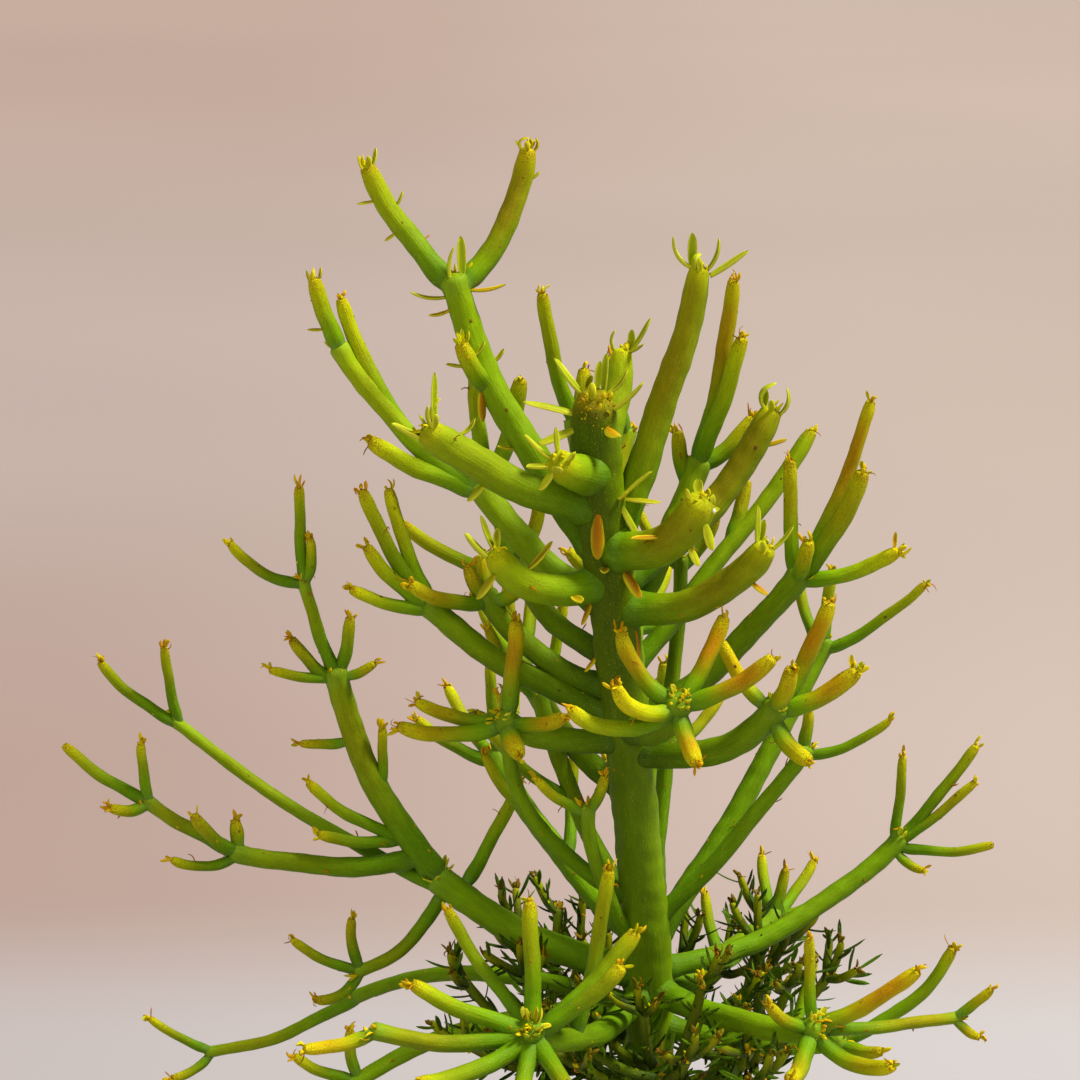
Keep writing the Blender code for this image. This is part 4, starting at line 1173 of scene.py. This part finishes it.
def grow_undergrowth():
    """Adds the undergrowth's branches: every twig tried that stays clear of what already stands."""
    standing = [(*trunk_spot(level), "trunk", False) for level in range(-60, 228, 4)]
    for name, rows in BRANCHES.items():
        for row, start in zip(rows, stem_starts(rows)):
            standing += beads(start, row, name)
    for name, (_, main) in UNDERGROWTH.items():
        standing += beads(trunk_spot(main[1])[0], main, name)
    for name, (tries, main) in UNDERGROWTH.items():
        rows = [main]
        for i in range(tries):
            where = round(0.30 + 0.67 * (i * 0.618 % 1), 2)
            heading = round(main[2] + UNDER_SPREAD * (i * 0.755 % 1 - 0.5))
            leaving = round(12 + 50 * (i * 0.570 % 1))
            length = round(24 + 24 * (i * 0.439 % 1))
            twig = (0, where, heading, leaving, min(leaving + 28, 84), length, 2.7, 2.4)
            if not has_room(name, rows, twig, standing):
                continue
            rows.append(twig)
            standing += beads(stem_starts(rows)[-1], twig, name)
            carrier = len(rows) - 1
            for turn, rise in ((-55, 16), (60, 30), (10, 48)):
                twiglet = (carrier, 0.97, heading + turn, rise, rise + 34, 10 + i % 6, 2.3, 2.1)
                if has_room(name, rows, twiglet, standing):
                    rows.append(twiglet)
                    standing += beads(stem_starts(rows)[-1], twiglet, name)
        BRANCHES[name] = tuple(rows)


grow_undergrowth()


# The greens of each tier from base to tip: those of stems that leave the trunk, then of twigs.
STEM_GREENS = {
    "crown": (
        (GREEN * 0.7, between(GREEN, LIME, 0.22), between(GREEN, LIME, 0.6)),
        (GREEN * 0.8, between(GREEN, LIME, 0.25), between(GREEN, LIME, 0.75)),
    ),
    "middle": (
        (DEEP_GREEN, between(DEEP_GREEN, GREEN, 0.6), GREEN),
        (GREEN * 0.8, between(GREEN, LIME, 0.2), between(GREEN, LIME, 0.85)),
    ),
    "low": (
        (between(DEEP_GREEN, GREEN, 0.4), GREEN * 0.9, between(GREEN, LIME, 0.15)),
        (GREEN * 0.75, GREEN * 0.95, between(GREEN, LIME, 0.35)),
    ),
    "shoot": (
        (between(DEEP_GREEN, GREEN, 0.5), GREEN * 0.9, between(GREEN, LIME, 0.2)),
        (GREEN * 0.8, GREEN, between(GREEN, LIME, 0.6)),
    ),
    # Painted shade: the undergrowth's greens are darkened to near black for the shade under the
    # crowded stems.
    "under": (
        (DEEP_GREEN * 0.35, DEEP_GREEN * 0.4, DEEP_GREEN * 0.5),
        (DEEP_GREEN * 0.35, DEEP_GREEN * 0.5, GREEN * 0.32),
    ),
}
# How much rust and orange each stem of a branch carries: the ones the sun reaches have the most.
WARMTH = {
    "middle_front": (0.0, 0.75, 1.1, 1.0, 0.0, 0.1, 0.75),
    "middle_right": (0.0, 0.8, 0.3, 1.0, 0.35, 0.6),
    "middle_left": (0.0, 0.5, 0.5, 0.9, 0.7, 0.6),
    "middle_left_upper": (0.0, 0.7, 0.6, 0.6, 0.5),
    "low_front": (0.0, 0.2, 0.1, 0.1, 0.3, 0.5, 0.1, 0.2, 0.1, 0.1, 0.1, 0.3),
    "low_front_right": (0.0, 0.5, 0.4, 0.9, 0.4, 0.4, 0.4, 0.4, 0.4),
    "crown_tall_left": (0.0, 0.1, 0.1, 0.1),
    "crown_back_right": (0.0, 0.8, 0.15, 0.3, 0.3),
    "middle_right_back": (0.0, 0.4, 0.4, 0.35, 0.9, 0.1),
}
# Twigs that have turned yellow from end to end.
YELLOWED = {
    ("middle_front", 4),
    ("middle_right", 5),
    ("middle_right", 2),
    ("low_front_right", 3),
    ("low_front", 5),
}
# The thick stems at the top, and one arm of the fork, flush brown along their sunny side instead.
BROWN_FLUSH = {
    "crown_left": 0.35,
    "crown_front_right": 0.9,
    "crown_right": 0.75,
    "crown_tall_right": 0.9,
    "crown_right_back": 0.85,
    "crown_front_stub": 0.15,
    "crown_front_left": 0.2,
    "crown_stub_back": 0.3,
    "crown_tall_left": 0.9,
}
BROWN_ARM = 2


def stem_tint(name, number, path, start_at, free, random):
    """Bluish bloom at the joint, green above it, then lime, a rusty flush, a yellow end, and
    painted light.
    """
    rank = min(number, 1)
    warmths = WARMTH.get(name)
    warm = random.uniform(0.05, 0.35) if warmths is None else warmths[number]
    tier = name.split("_")[0]
    brown = BROWN_FLUSH.get(name, 0.04 if tier == "low" else 0.12)
    lively = random.uniform(0.88, 1.12)
    low, middle, high = STEM_GREENS[tier][rank]
    if rank:
        high = between(high, YELLOW, 0.6 * warm + (0.0 if tier == "low" else 0.10))
    if (name, number) in YELLOWED:
        middle, high = between(middle, YELLOW, 0.5), YELLOW
    if tier == "under":
        warm = 0.1 * warm
    flushes_brown = number == (BROWN_ARM if name == "crown_tall_left" else 0)

    def tint(along, sunny):
        share = np.clip((along - start_at) / max(path.length - start_at, 1), 0, 1)[:, None, None]
        sun = sunny[..., None]
        colour = between(low, middle, np.clip(share * 2.4, 0, 1))
        colour = between(colour, high, np.clip(share * 1.9 - 0.8, 0, 1) * (1.0 if free else 0.3))
        colour = between(colour, LIME, (0.14 if tier == "low" else 0.30) * sun * share)
        if flushes_brown:
            flush = brown * sun * np.clip(share * 2.0 - 0.1, 0, 1)
            colour = between(colour, OLIVE_FLUSH * 0.85, flush)
        else:
            rusty = np.clip(share * 2.4 - 0.5, 0, 1) * np.clip((1.03 - share) * 5, 0.2, 1)
            flush = np.clip(warm * 0.95 * sun * rusty, 0, 0.9)
            colour = between(colour, between(RUST, ORANGE, 0.5), flush)
        joint = np.exp(-(((along - start_at) / 1.4) ** 2))[:, None, None]
        colour = between(colour, BLOOM, (0.24 if rank else 0.08) * joint)
        if free:
            end = np.exp((along - path.length) / (1.6 if rank == 0 else 2.4))[:, None, None]
            young = between(LIME, YELLOW, 0.4 if rank == 0 else 0.85)
            # Painted shade: the undergrowth's tips barely pale towards yellow.
            paling = (0.15 if tier == "under" else 1.0) * np.clip(0.8 * end, 0, 0.8)
            colour = between(colour, young, paling)
        else:
            end = np.exp(-(((along - path.length) / 2.6) ** 2))[:, None, None]
            colour = between(colour, BLOOM * 0.9, 0.09 * end)
        # Painted light and shade: the side facing SUN_SIDE is made up to 1.18 times lighter and the
        # underside down to 0.74 times darker.
        return colour * lively * between(0.74, 1.18, sun)

    return tint


def tip_dryness(length, most, reach, flush):
    """How dry and flecked a stem's skin is: most at its very end, and some where it is flushed."""

    def dryness(along):
        flushed = flush * np.exp(-(((along / length - 0.65) / 0.28) ** 2))
        return most * np.exp(np.minimum(along - length, 0) / reach) + flushed + 0.06

    return dryness


def small_leaves(form, random, path, radii):
    """The short leaves that a shaded twig keeps along most of its length, darkened as painted
    shade.
    """
    for spot in np.arange(5, path.length, 1.7):
        share = spot / path.length
        out = path.out(share, random.uniform(0, 2 * math.pi))
        ahead = path.at(share, path.ahead)
        base = path.at(share) + out * np.interp(share, path.share, radii) * 0.9
        # Painted shade: the leaves are dark green for the shade that they sit in.
        tint = between(DEEP_GREEN * 0.45, GREEN * 0.6, random.rand() ** 2)
        size = (random.uniform(4.0, 8.5), random.uniform(0.9, 1.5))
        greens = (tint * 1.3, tint, tint * 0.9)
        blade(form, base, out + ahead * 0.6, out * 0.6 + ahead, *size, *greens, 0.2, 0.4, 6, 8)


def stem_radii(path, base, tip, hidden, rank, free, random):
    """How thick a stem is along its length: swollen at joints, lumpy, drawn in at a free tip."""
    radii = between(base, tip, path.share) / 2
    past = path.along - hidden
    to_end = path.along - path.length
    if rank == 0:
        radii = radii * (1 + 0.20 * np.exp(-np.clip(past, 0, None) / 2.2))
    else:
        crease = 0.13 * np.exp(-((past / 1.1) ** 2))
        radii = radii * (1 - crease + 0.05 * np.exp(-(((past - 3) / 2.0) ** 2)))
    if free:
        radii = radii * (1 - 0.20 * np.clip(to_end / (0.9 * tip) + 1, 0, 1) ** 2)
    else:
        radii = radii * (1 + 0.10 * np.exp(-((to_end / 2.4) ** 2)))
    for spot in random.uniform(0, path.length, max(1, int(path.length / 9))):
        radii = radii * (1 + 0.025 * np.exp(-(((path.along - spot) / 1.6) ** 2)))
    return radii


def scars_and_threads(form, random, path, radii, hidden, thick):
    """Leaf scars at even steps up a stem, a few with a shrivelled leaf still on them."""
    step = random.uniform(5.5, 9.0)
    for spot in np.arange(hidden + 3 + random.uniform(0, 4), path.length - 1.5, step):
        share = spot / path.length
        out = path.out(share, random.uniform(0, 2 * math.pi))
        ahead = path.at(share, path.ahead)
        place = path.at(share) + out * np.interp(share, path.share, radii) * 0.985
        size = random.uniform(0.36, 0.7) * (1.1 if thick else 0.8)
        leaf_scar(form, random, place, out, ahead, size)
        if random.rand() < 0.16:
            dry_thread(form, random, place, out + ahead * 0.5, random.uniform(1.6, 3.0))


def grow_branch(name, rows):
    """Makes a branch's stems, with their scars and scales, as one piece; returns their paths."""
    random = np.random.RandomState(sum(ord(letter) * (i + 3) for i, letter in enumerate(name)))
    form = Form()
    paths = []
    shaded = name.startswith("under")
    carried = {row[0] for row in rows if row[0] != "trunk" and row[1] > 0.9}
    for number, (carrier, where, heading, leaving, final, length, base, tip) in enumerate(rows):
        if carrier == "trunk":
            start, hidden = trunk_at(where)
            rank = 0
        else:
            start = paths[carrier].at(where)
            hidden = rows[carrier][7] / 2 * (0.95 if where > 0.9 else 1.0)
            rank = 1
        free = number not in carried
        thick = base > 5.6
        count = max(10, int(length / (0.75 if thick else 0.95)))
        sway = min(0.5, length * 0.008)
        if free:
            length = length - 0.15 * tip
        path = Path(start, heading, leaving, final, length, count, sway, random.uniform(0, 6))
        paths.append(path)
        radii = stem_radii(path, base, tip, hidden, rank, free, random)
        tint = stem_tint(name, number, path, hidden, free, random)
        seed = random.uniform(0, 6)
        crusty = random.uniform(0.5, 0.9) * (0.6 if thick else 1) * (0.3 if shaded else 1)
        flush = 0.0 if shaded else random.uniform(0.1, 0.4)
        dry_of = tip_dryness(length, crusty if free else 0.0, 1.6 if thick else 2.4, flush)
        rod(form, path, radii, tint, 32 if thick else 20, 0.62, seed, dry_of)
        scars_and_threads(form, random, path, radii, hidden, thick)
        if not free:
            bud_scales(form, random, path, radii[-1], 5, 0.1)
        elif number not in LEAFY_TIPS.get(name, ()):
            scales = random.randint(3, 6)
            # Painted shade: on the undergrowth the scales and crumbs are darkened to a quarter.
            shade = 0.25 if shaded else 1.0
            bud_scales(form, random, path, radii[-1], scales, 0.0 if rank else 0.4, shade)
        if shaded and rank:
            small_leaves(form, random, path, radii)
    form.piece(name + "_stems", "stem_skin", stem_wax, name)
    return paths


grown = {branch: grow_branch(branch, rows) for branch, rows in BRANCHES.items()}


# The leaves: each is a small fleshy strap that soon falls, so only young tips and joints carry any.
# Fresh ones are lime with pale rims; old ones turn orange down the channel before they drop.

# The colours of a leaf's rim, the middle of its face, and its back.
LEAF_FRESH = np.array(((0.84, 0.84, 0.045), (0.36, 0.50, 0.002), (0.42, 0.55, 0.002)))
LEAF_OLD = np.array(((0.86, 0.74, 0.010), (0.50, 0.14, 0.002), (0.56, 0.20, 0.002)))
LEAF_BREADTH = 1.18  # how much wider than its row says a leaf grows

# Every group of leaves, by the piece it makes: its branch or the trunk, which stem of that branch,
# the CAD nodes it stands for, and a row for each leaf - where it sits (the height up the trunk, or
# the share of the way along the stem), heading, leaving and final pitch, length, width and age.
LEAF_GROUPS = {
    "leaves_on_trunk_top": ("trunk", 0, ["leaves_trunk_top"], [
        (226, 165, 42, 60, 10.5, 2.3, 0.05),
        (226, 120, 80, 140, 5.0, 1.7, 0.2),
        (226, 40, 82, 88, 9.4, 1.9, 0.05),
        (226, 10, 20, 80, 7.8, 1.7, 0.2),
        (222, 345, 30, 58, 11.7, 2.3, 0.05),
        (220, 300, 5, -8, 5.5, 2.6, 0.85),
        (221, 185, 24, 8, 13.9, 2.4, 0.1),
        (219, 205, -4, -22, 9.8, 2.7, 0.15),
        (226, 260, 50, 130, 4.5, 1.8, 0.3),
        (226, 75, 60, 75, 7.0, 1.7, 0.1),
    ]),
    "leaves_on_trunk_side": ("trunk", 0, [], [
        (202, 345, 42, 46, 9.8, 1.9, 0.25),
        (201, 352, 2, -6, 8.9, 1.7, 0.35),
        (200, 330, -50, -62, 10.8, 2.0, 0.1),
        (202, 320, 20, 60, 4.0, 1.5, 0.4),
        (199, 262, -78, -88, 11.2, 3.0, 1.0),
        (184, 310, -30, -50, 8.0, 2.6, 1.0),
        (185, 262, 0, 15, 4.2, 2.0, 0.6),
        (175, 200, -60, -72, 6.4, 1.7, 1.0),
        (172, 345, -15, 5, 6.0, 1.7, 0.8),
        (168, 325, -75, -85, 8.0, 1.7, 1.0),
        (160, 190, -40, -60, 5.0, 1.5, 0.9),
        (190, 90, 10, 40, 7.0, 1.8, 0.4),
        (176, 100, -30, -50, 6.0, 1.6, 0.8),
    ]),
    "leaves_on_left": ("crown_left", 0, ["leaves_left"], [
        (1, 140, 84, 98, 12.4, 1.8, 0.02),
        (1, 185, 60, 150, 7.0, 1.6, 0.15),
        (1, 200, 45, 110, 6.5, 1.6, 0.2),
        (1, 190, 22, 38, 7.8, 2.4, 0.1),
        (1, 300, 40, 100, 4.5, 1.5, 0.2),
        (0.86, 20, 10, 80, 5.5, 1.5, 0.2),
        (0.62, 205, -32, -45, 5.4, 2.0, 0.2),
    ]),
    "leaves_on_front_stub": ("crown_front_stub", 0, ["leaves_front_stub"], [
        (1, 185, 34, 56, 8.6, 2.1, 0.1),
        (1, 160, 72, 95, 6.2, 1.9, 0.1),
        (1, 200, 0, 12, 5.6, 2.2, 0.15),
        (1, 212, -42, -52, 5.4, 2.1, 0.1),
        (1, 255, 5, 70, 4.2, 2.2, 0.1),
        (1, 320, 30, 80, 3.4, 1.8, 0.2),
    ]),
    "leaves_on_front_right": ("crown_front_right", 0, ["leaves_front_right"], [
        (1, 90, 50, 84, 3.6, 2.0, 0.15),
        (1, 200, 40, 110, 3.2, 2.0, 0.3),
        (1, 330, 60, 120, 3.0, 1.8, 0.2),
        (0.93, 300, -48, -72, 6.2, 2.1, 0.15),
        (0.8, 30, 14, 30, 5.9, 1.9, 0.1),
        (0.7, 320, -45, -62, 4.9, 2.0, 0.2),
        (0.6, 195, 0, 8, 6.5, 1.7, 0.95),
    ]),
    "leaves_on_right": ("crown_right", 0, ["leaves_right"], [
        (1, 150, 84, 94, 9.4, 1.9, 0.05),
        (1, 5, 34, 66, 7.8, 1.6, 0.1),
        (1, 60, 66, 80, 5.5, 1.6, 0.1),
        (1, 280, 40, 110, 3.5, 1.5, 0.2),
        (0.82, 330, -14, -36, 4.6, 1.7, 0.95),
    ]),
    "leaves_on_front_left": ("crown_front_left", 0, ["leaves_front_left"], [
        (1, 185, 36, 62, 8.3, 2.7, 0.05),
        (1, 160, 58, 78, 9.0, 2.0, 0.05),
        (1, 120, 60, 120, 5.5, 1.7, 0.2),
        (0.72, 20, 32, 62, 8.7, 2.0, 0.55),
        (0.93, 228, -28, -42, 7.5, 2.0, 0.4),
        (0.35, 300, -10, 8, 3.8, 2.4, 0.6),
    ]),
    "leaves_on_tall_right": ("crown_tall_right", 0, ["leaves_tall_right"], [
        (1, 182, 24, 96, 9.8, 1.8, 0.05),
        (1, 95, 84, 92, 8.4, 2.0, 0.02),
        (1, 10, 40, 100, 8.6, 1.6, 0.1),
        (0.99, 2, 26, 42, 10.8, 2.3, 0.1),
        (1, 230, 60, 190, 6.0, 1.4, 0.1),
        (1, 300, 70, 160, 4.5, 1.4, 0.2),
    ]),
    "leaves_on_right_back": ("crown_right_back", 0, ["leaves_right_back"], [
        (1, 182, 56, 170, 9.0, 1.9, 0.1),
        (1, 2, 36, 118, 8.0, 1.8, 0.1),
        (1, 60, 66, 84, 4.5, 1.7, 0.1),
        (1, 280, 50, 110, 3.5, 1.5, 0.2),
        (0.88, 5, 8, 24, 4.8, 1.6, 0.85),
    ]),
    "leaves_on_fork": ("crown_tall_left", 0, [], [
        (1, 110, 82, 90, 10.0, 2.0, 0.05),
        (1, 170, 72, 120, 9.0, 1.6, 0.1),
        (0.96, 185, -14, 34, 9.0, 1.5, 0.35),
        (0.92, 205, -28, 15, 5.8, 1.4, 0.8),
        (0.96, 355, -8, 30, 9.0, 1.5, 0.9),
        (0.72, 20, 30, 70, 4.0, 1.4, 0.4),
        (0.45, 200, 0, 30, 4.5, 1.5, 0.5),
    ]),
    "leaves_on_side_twig": ("crown_tall_left", 3, [], [
        (1, 150, 70, 110, 3.5, 1.4, 0.15),
        (1, 20, 60, 100, 3.0, 1.3, 0.3),
        (0.75, 20, 30, 80, 4.2, 1.3, 0.2),
        (0.7, 195, 5, 20, 4.0, 1.4, 0.3),
        (0.2, 290, -78, -88, 7.2, 1.8, 0.95),
    ]),
    "leaves_on_tall_left_twig": ("crown_tall_left", 1, ["leaves_tall_left_twig"], [
        (1, 160, 60, 80, 3.6, 1.4, 0.4),
        (1, 30, 60, 96, 4.2, 1.4, 0.2),
        (1, 270, 50, 100, 3.0, 1.3, 0.3),
        (0.8, 195, 0, -10, 4.0, 1.2, 0.5),
        (0.7, 15, 50, 80, 3.6, 1.2, 0.3),
        (0.55, 200, -20, -40, 3.0, 1.2, 0.4),
    ]),
    "leaves_on_tall_left_top": ("crown_tall_left", 2, ["leaves_tall_left_top"], [
        (1, 175, 60, 185, 5.0, 1.2, 0.6),
        (1, 20, 30, 130, 4.0, 1.2, 0.7),
        (1, 280, 60, 150, 3.0, 1.2, 0.5),
        (0.85, 10, 20, 60, 2.4, 1.2, 0.3),
    ]),
    "leaves_on_stub_back": ("crown_stub_back", 0, ["leaves_stub_back"], [
        (1, 60, 60, 100, 6.0, 1.8, 0.1),
        (1, 175, 50, 130, 6.0, 1.5, 0.1),
        (1, 10, 48, 70, 10.0, 1.8, 0.05),
        (1, 330, 20, 50, 5.0, 1.6, 0.2),
    ]),
    "leaves_on_left_back": ("crown_left_back", 3, ["leaves_left_back"], [
        (1, 200, 60, 90, 3.2, 1.3, 0.5),
        (1, 20, 60, 96, 3.0, 1.3, 0.5),
        (0.4, 195, 10, 0, 3.8, 1.2, 0.6),
    ]),
    "leaves_on_middle_right": ("middle_right", 1, ["leaves_middle_right"], [
        (1, 0, 40, 90, 3.2, 1.4, 0.5),
        (1, 120, 60, 100, 3.4, 1.3, 0.6),
    ]),
    "leaves_on_middle_right_back": ("middle_right_back", 5, [], [
        (1, 340, 20, 60, 4.0, 1.3, 0.7),
        (1, 120, 70, 110, 4.2, 1.2, 0.8),
    ]),
}
# Short leaves crowd the middle of a young whorl, between its twigs: how many, and the longest.
WHORL_LEAVES = {
    "low_front": (9, 5.5),
    "low_front_right": (7, 4.5),
    "low_left": (6, 4.5),
    "middle_front": (7, 3.2),
    "middle_left": (7, 3.4),
    "middle_right": (6, 3.2),
    "low_front_left": (6, 4.5),
    "low_right": (6, 4.0),
}
leaf_wax = waxy_skin("leaf_wax")


def leaves(name, carrier, stem, nodes, rows):
    """Makes a group of leaves on one stem as one piece."""
    random = np.random.RandomState(len(name) * 7 + stem)
    form = Form()
    for where, heading, leaving, final, length, width, age in rows:
        first, last = heading_of(heading, leaving), heading_of(heading, final)
        if carrier == "trunk":
            centre, radius = trunk_at(where)
            ahead = UPRIGHT
            at_end = where > 220
        else:
            path = grown[carrier][stem]
            centre, ahead = path.at(where), path.at(where, path.ahead)
            radius = between(*BRANCHES[carrier][stem][6:8], where) / 2
            at_end = where > 0.99
        out = first - (first @ ahead) * ahead
        out = out / max(np.linalg.norm(out), 0.05)
        outward, onward = (0.62, 0.15) if at_end else (0.93, 0)
        base = centre + out * radius * outward + ahead * radius * onward
        colours = between(LEAF_FRESH, LEAF_OLD, age) * random.uniform(0.88, 1.1)
        blade(form, base, first, last, length, width * LEAF_BREADTH, *colours, rings=16, sides=16)
    if carrier != "trunk" and rows[0][0] == 1:
        radius = BRANCHES[carrier][stem][7] / 2
        bud_scales(form, random, grown[carrier][stem], radius * 0.66, 7, 0.85)
    form.piece(name, "leaf_skin", leaf_wax, *nodes)


for name, group in LEAF_GROUPS.items():
    leaves(name, *group)
for carrier, (count, longest) in WHORL_LEAVES.items():
    whorl_random = np.random.RandomState(count + len(carrier))
    whorl = []
    for number in range(count):
        turn = number * SPIRAL + whorl_random.uniform(-30, 30)
        rise = whorl_random.uniform(10, 75)
        size = (whorl_random.uniform(0.5, 1.0) * longest, whorl_random.uniform(1.1, 1.9))
        curl = rise + whorl_random.uniform(-10, 70)
        whorl.append((1, turn, rise, curl, *size, whorl_random.uniform(0, 0.5)))
    leaves("leaves_in_whorl_" + carrier, carrier, 0, [], whorl)


# The sap: a broken tip bleeds one bead of white milky latex.
# It sets glossy where it has run down beside the tip.

SAP_WHITE = (0.86, 0.87, 0.82, 1)
SAP_SIZE = 0.8
SAP_PLACE = (3.0, -1.4, -1.2)  # from the tip's middle

sap = Finish("milky_sap", Base_Color=SAP_WHITE, Specular_IOR_Level=0.5, Coat_Weight=0.6)
sap_mottle = sap.mottle(sap.place(), 1500.0)
milky_sap = sap.done(Roughness=sap_mottle * 0.1 + 0.08, Normal=sap.relief(sap_mottle, 0.00005))
sap_tip = grown["crown_front_right"][0]
sap_form = Form()
sap_bead = lump(np.random.RandomState(3), SAP_SIZE)
sap_form.add(sap_bead + (sap_tip.points[-1] + SAP_PLACE), (PEBBLE_FACES,))
sap_form.piece("sap_bead", "leaf_skin", milky_sap)


# The setting: a plain pale surface that the pot stands on, lit by large soft lamps.
# It runs on far behind, where it warms to a dusty pink, so that nothing else stands in view.

# How far behind the pot each pair of colours begins and has fully come, then the left and right.
FLOOR_BANDS = (
    (0.28, 0.40, (0.376, 0.269, 0.238, 1), (0.489, 0.401, 0.360, 1)),
    (0.50, 0.95, (0.407, 0.326, 0.300, 1), (0.447, 0.366, 0.320, 1)),
    (1.10, 2.00, (0.401, 0.296, 0.254, 1), (0.444, 0.353, 0.308, 1)),
)
# The right half of the floor and of each far band is paler than the left: painted light, as if it
# fell stronger there.
FLOOR_PALE = (0.438, 0.394, 0.395, 1)
FLOOR_PALE_RIGHT = (0.536, 0.508, 0.510, 1)
FLOOR_REACH = 80
SKY_COLOUR = (1.0, 0.97, 0.94, 1)
SKY_STRENGTH = 0.16
CAMERA_PLACE = (-0.0273, -0.6158, 0.5549)
CAMERA_TILT = 68
CAMERA_ANGLE = 22

floor_finish = Finish("pale_floor", Specular_IOR_Level=0.2)
floor_place = floor_finish.place()
floor_across = floor_finish.node("SeparateXYZ", {}, {0: floor_place}, "X")
floor_depth = floor_finish.node("SeparateXYZ", {}, {0: floor_place}, "Y")
floor_drift = floor_finish.mottle(floor_finish.stretched(floor_place, (0.4, 1, 1)), 1.6, 2.0)
# Painted light: the blend towards the paler right-hand colours.
floor_right = floor_finish.step(floor_across, -0.30, 0.25)
floor_colour = floor_finish.mix(floor_right, FLOOR_PALE, FLOOR_PALE_RIGHT)
for begins, full, left, right in FLOOR_BANDS:
    floor_band = floor_finish.mix(floor_right, left, right)
    floor_turn = floor_finish.step(floor_depth + floor_drift * 0.05, begins, full)
    floor_colour = floor_finish.mix(floor_turn, floor_colour, floor_band)
floor_fine = floor_finish.mottle(floor_place, 300.0, 3.0)
pale_floor = floor_finish.done(
    Base_Color=floor_finish.shade(floor_colour, floor_drift * 0.25 + 0.86),
    Roughness=floor_fine * 0.1 + 0.8,
    Normal=floor_finish.relief(floor_fine, 0.00005),
)
floor_mesh = bpy.data.meshes.new("floor")
floor_corners = ((-1, -1), (1, -1), (1, 1), (-1, 1))
floor_points = [(x * FLOOR_REACH, y * FLOOR_REACH, 0) for x, y in floor_corners]
floor_mesh.from_pydata(floor_points, [], [(0, 1, 2, 3)])
floor_mesh.materials.append(pale_floor)
floor = bpy.data.objects.new("floor", floor_mesh)
bpy.context.scene.collection.objects.link(floor)

world = bpy.data.worlds.new("studio")
world.use_nodes = True
sky = world.node_tree.nodes["Background"]
sky.inputs["Color"].default_value = SKY_COLOUR
sky.inputs["Strength"].default_value = SKY_STRENGTH
bpy.context.scene.world = world


def lamp(name, heading, pitch, strength, softness, colour):
    """A broad soft light from one side of the sky."""
    data = bpy.data.lights.new(name, "SUN")
    data.energy = strength
    data.angle = math.radians(softness)
    data.color = colour
    made = bpy.data.objects.new(name, data)
    shining = Vector(-heading_of(heading, pitch))
    made.rotation_euler = shining.to_track_quat("-Z", "Y").to_euler()
    bpy.context.scene.collection.objects.link(made)


lamp("key", 12, 55, 4.3, 14, (1.0, 0.98, 0.93))
lamp("fill", 240, 50, 0.65, 50, (1.0, 0.97, 0.93))

bpy.context.scene.view_settings.view_transform = "Standard"

camera_data = bpy.data.cameras.new("camera")
camera_data.sensor_fit = "HORIZONTAL"
camera_data.angle = math.radians(CAMERA_ANGLE)
camera = bpy.data.objects.new("camera", camera_data)
camera.location = CAMERA_PLACE
camera.rotation_euler = (math.radians(CAMERA_TILT), 0, 0)
bpy.context.scene.collection.objects.link(camera)
bpy.context.scene.camera = camera
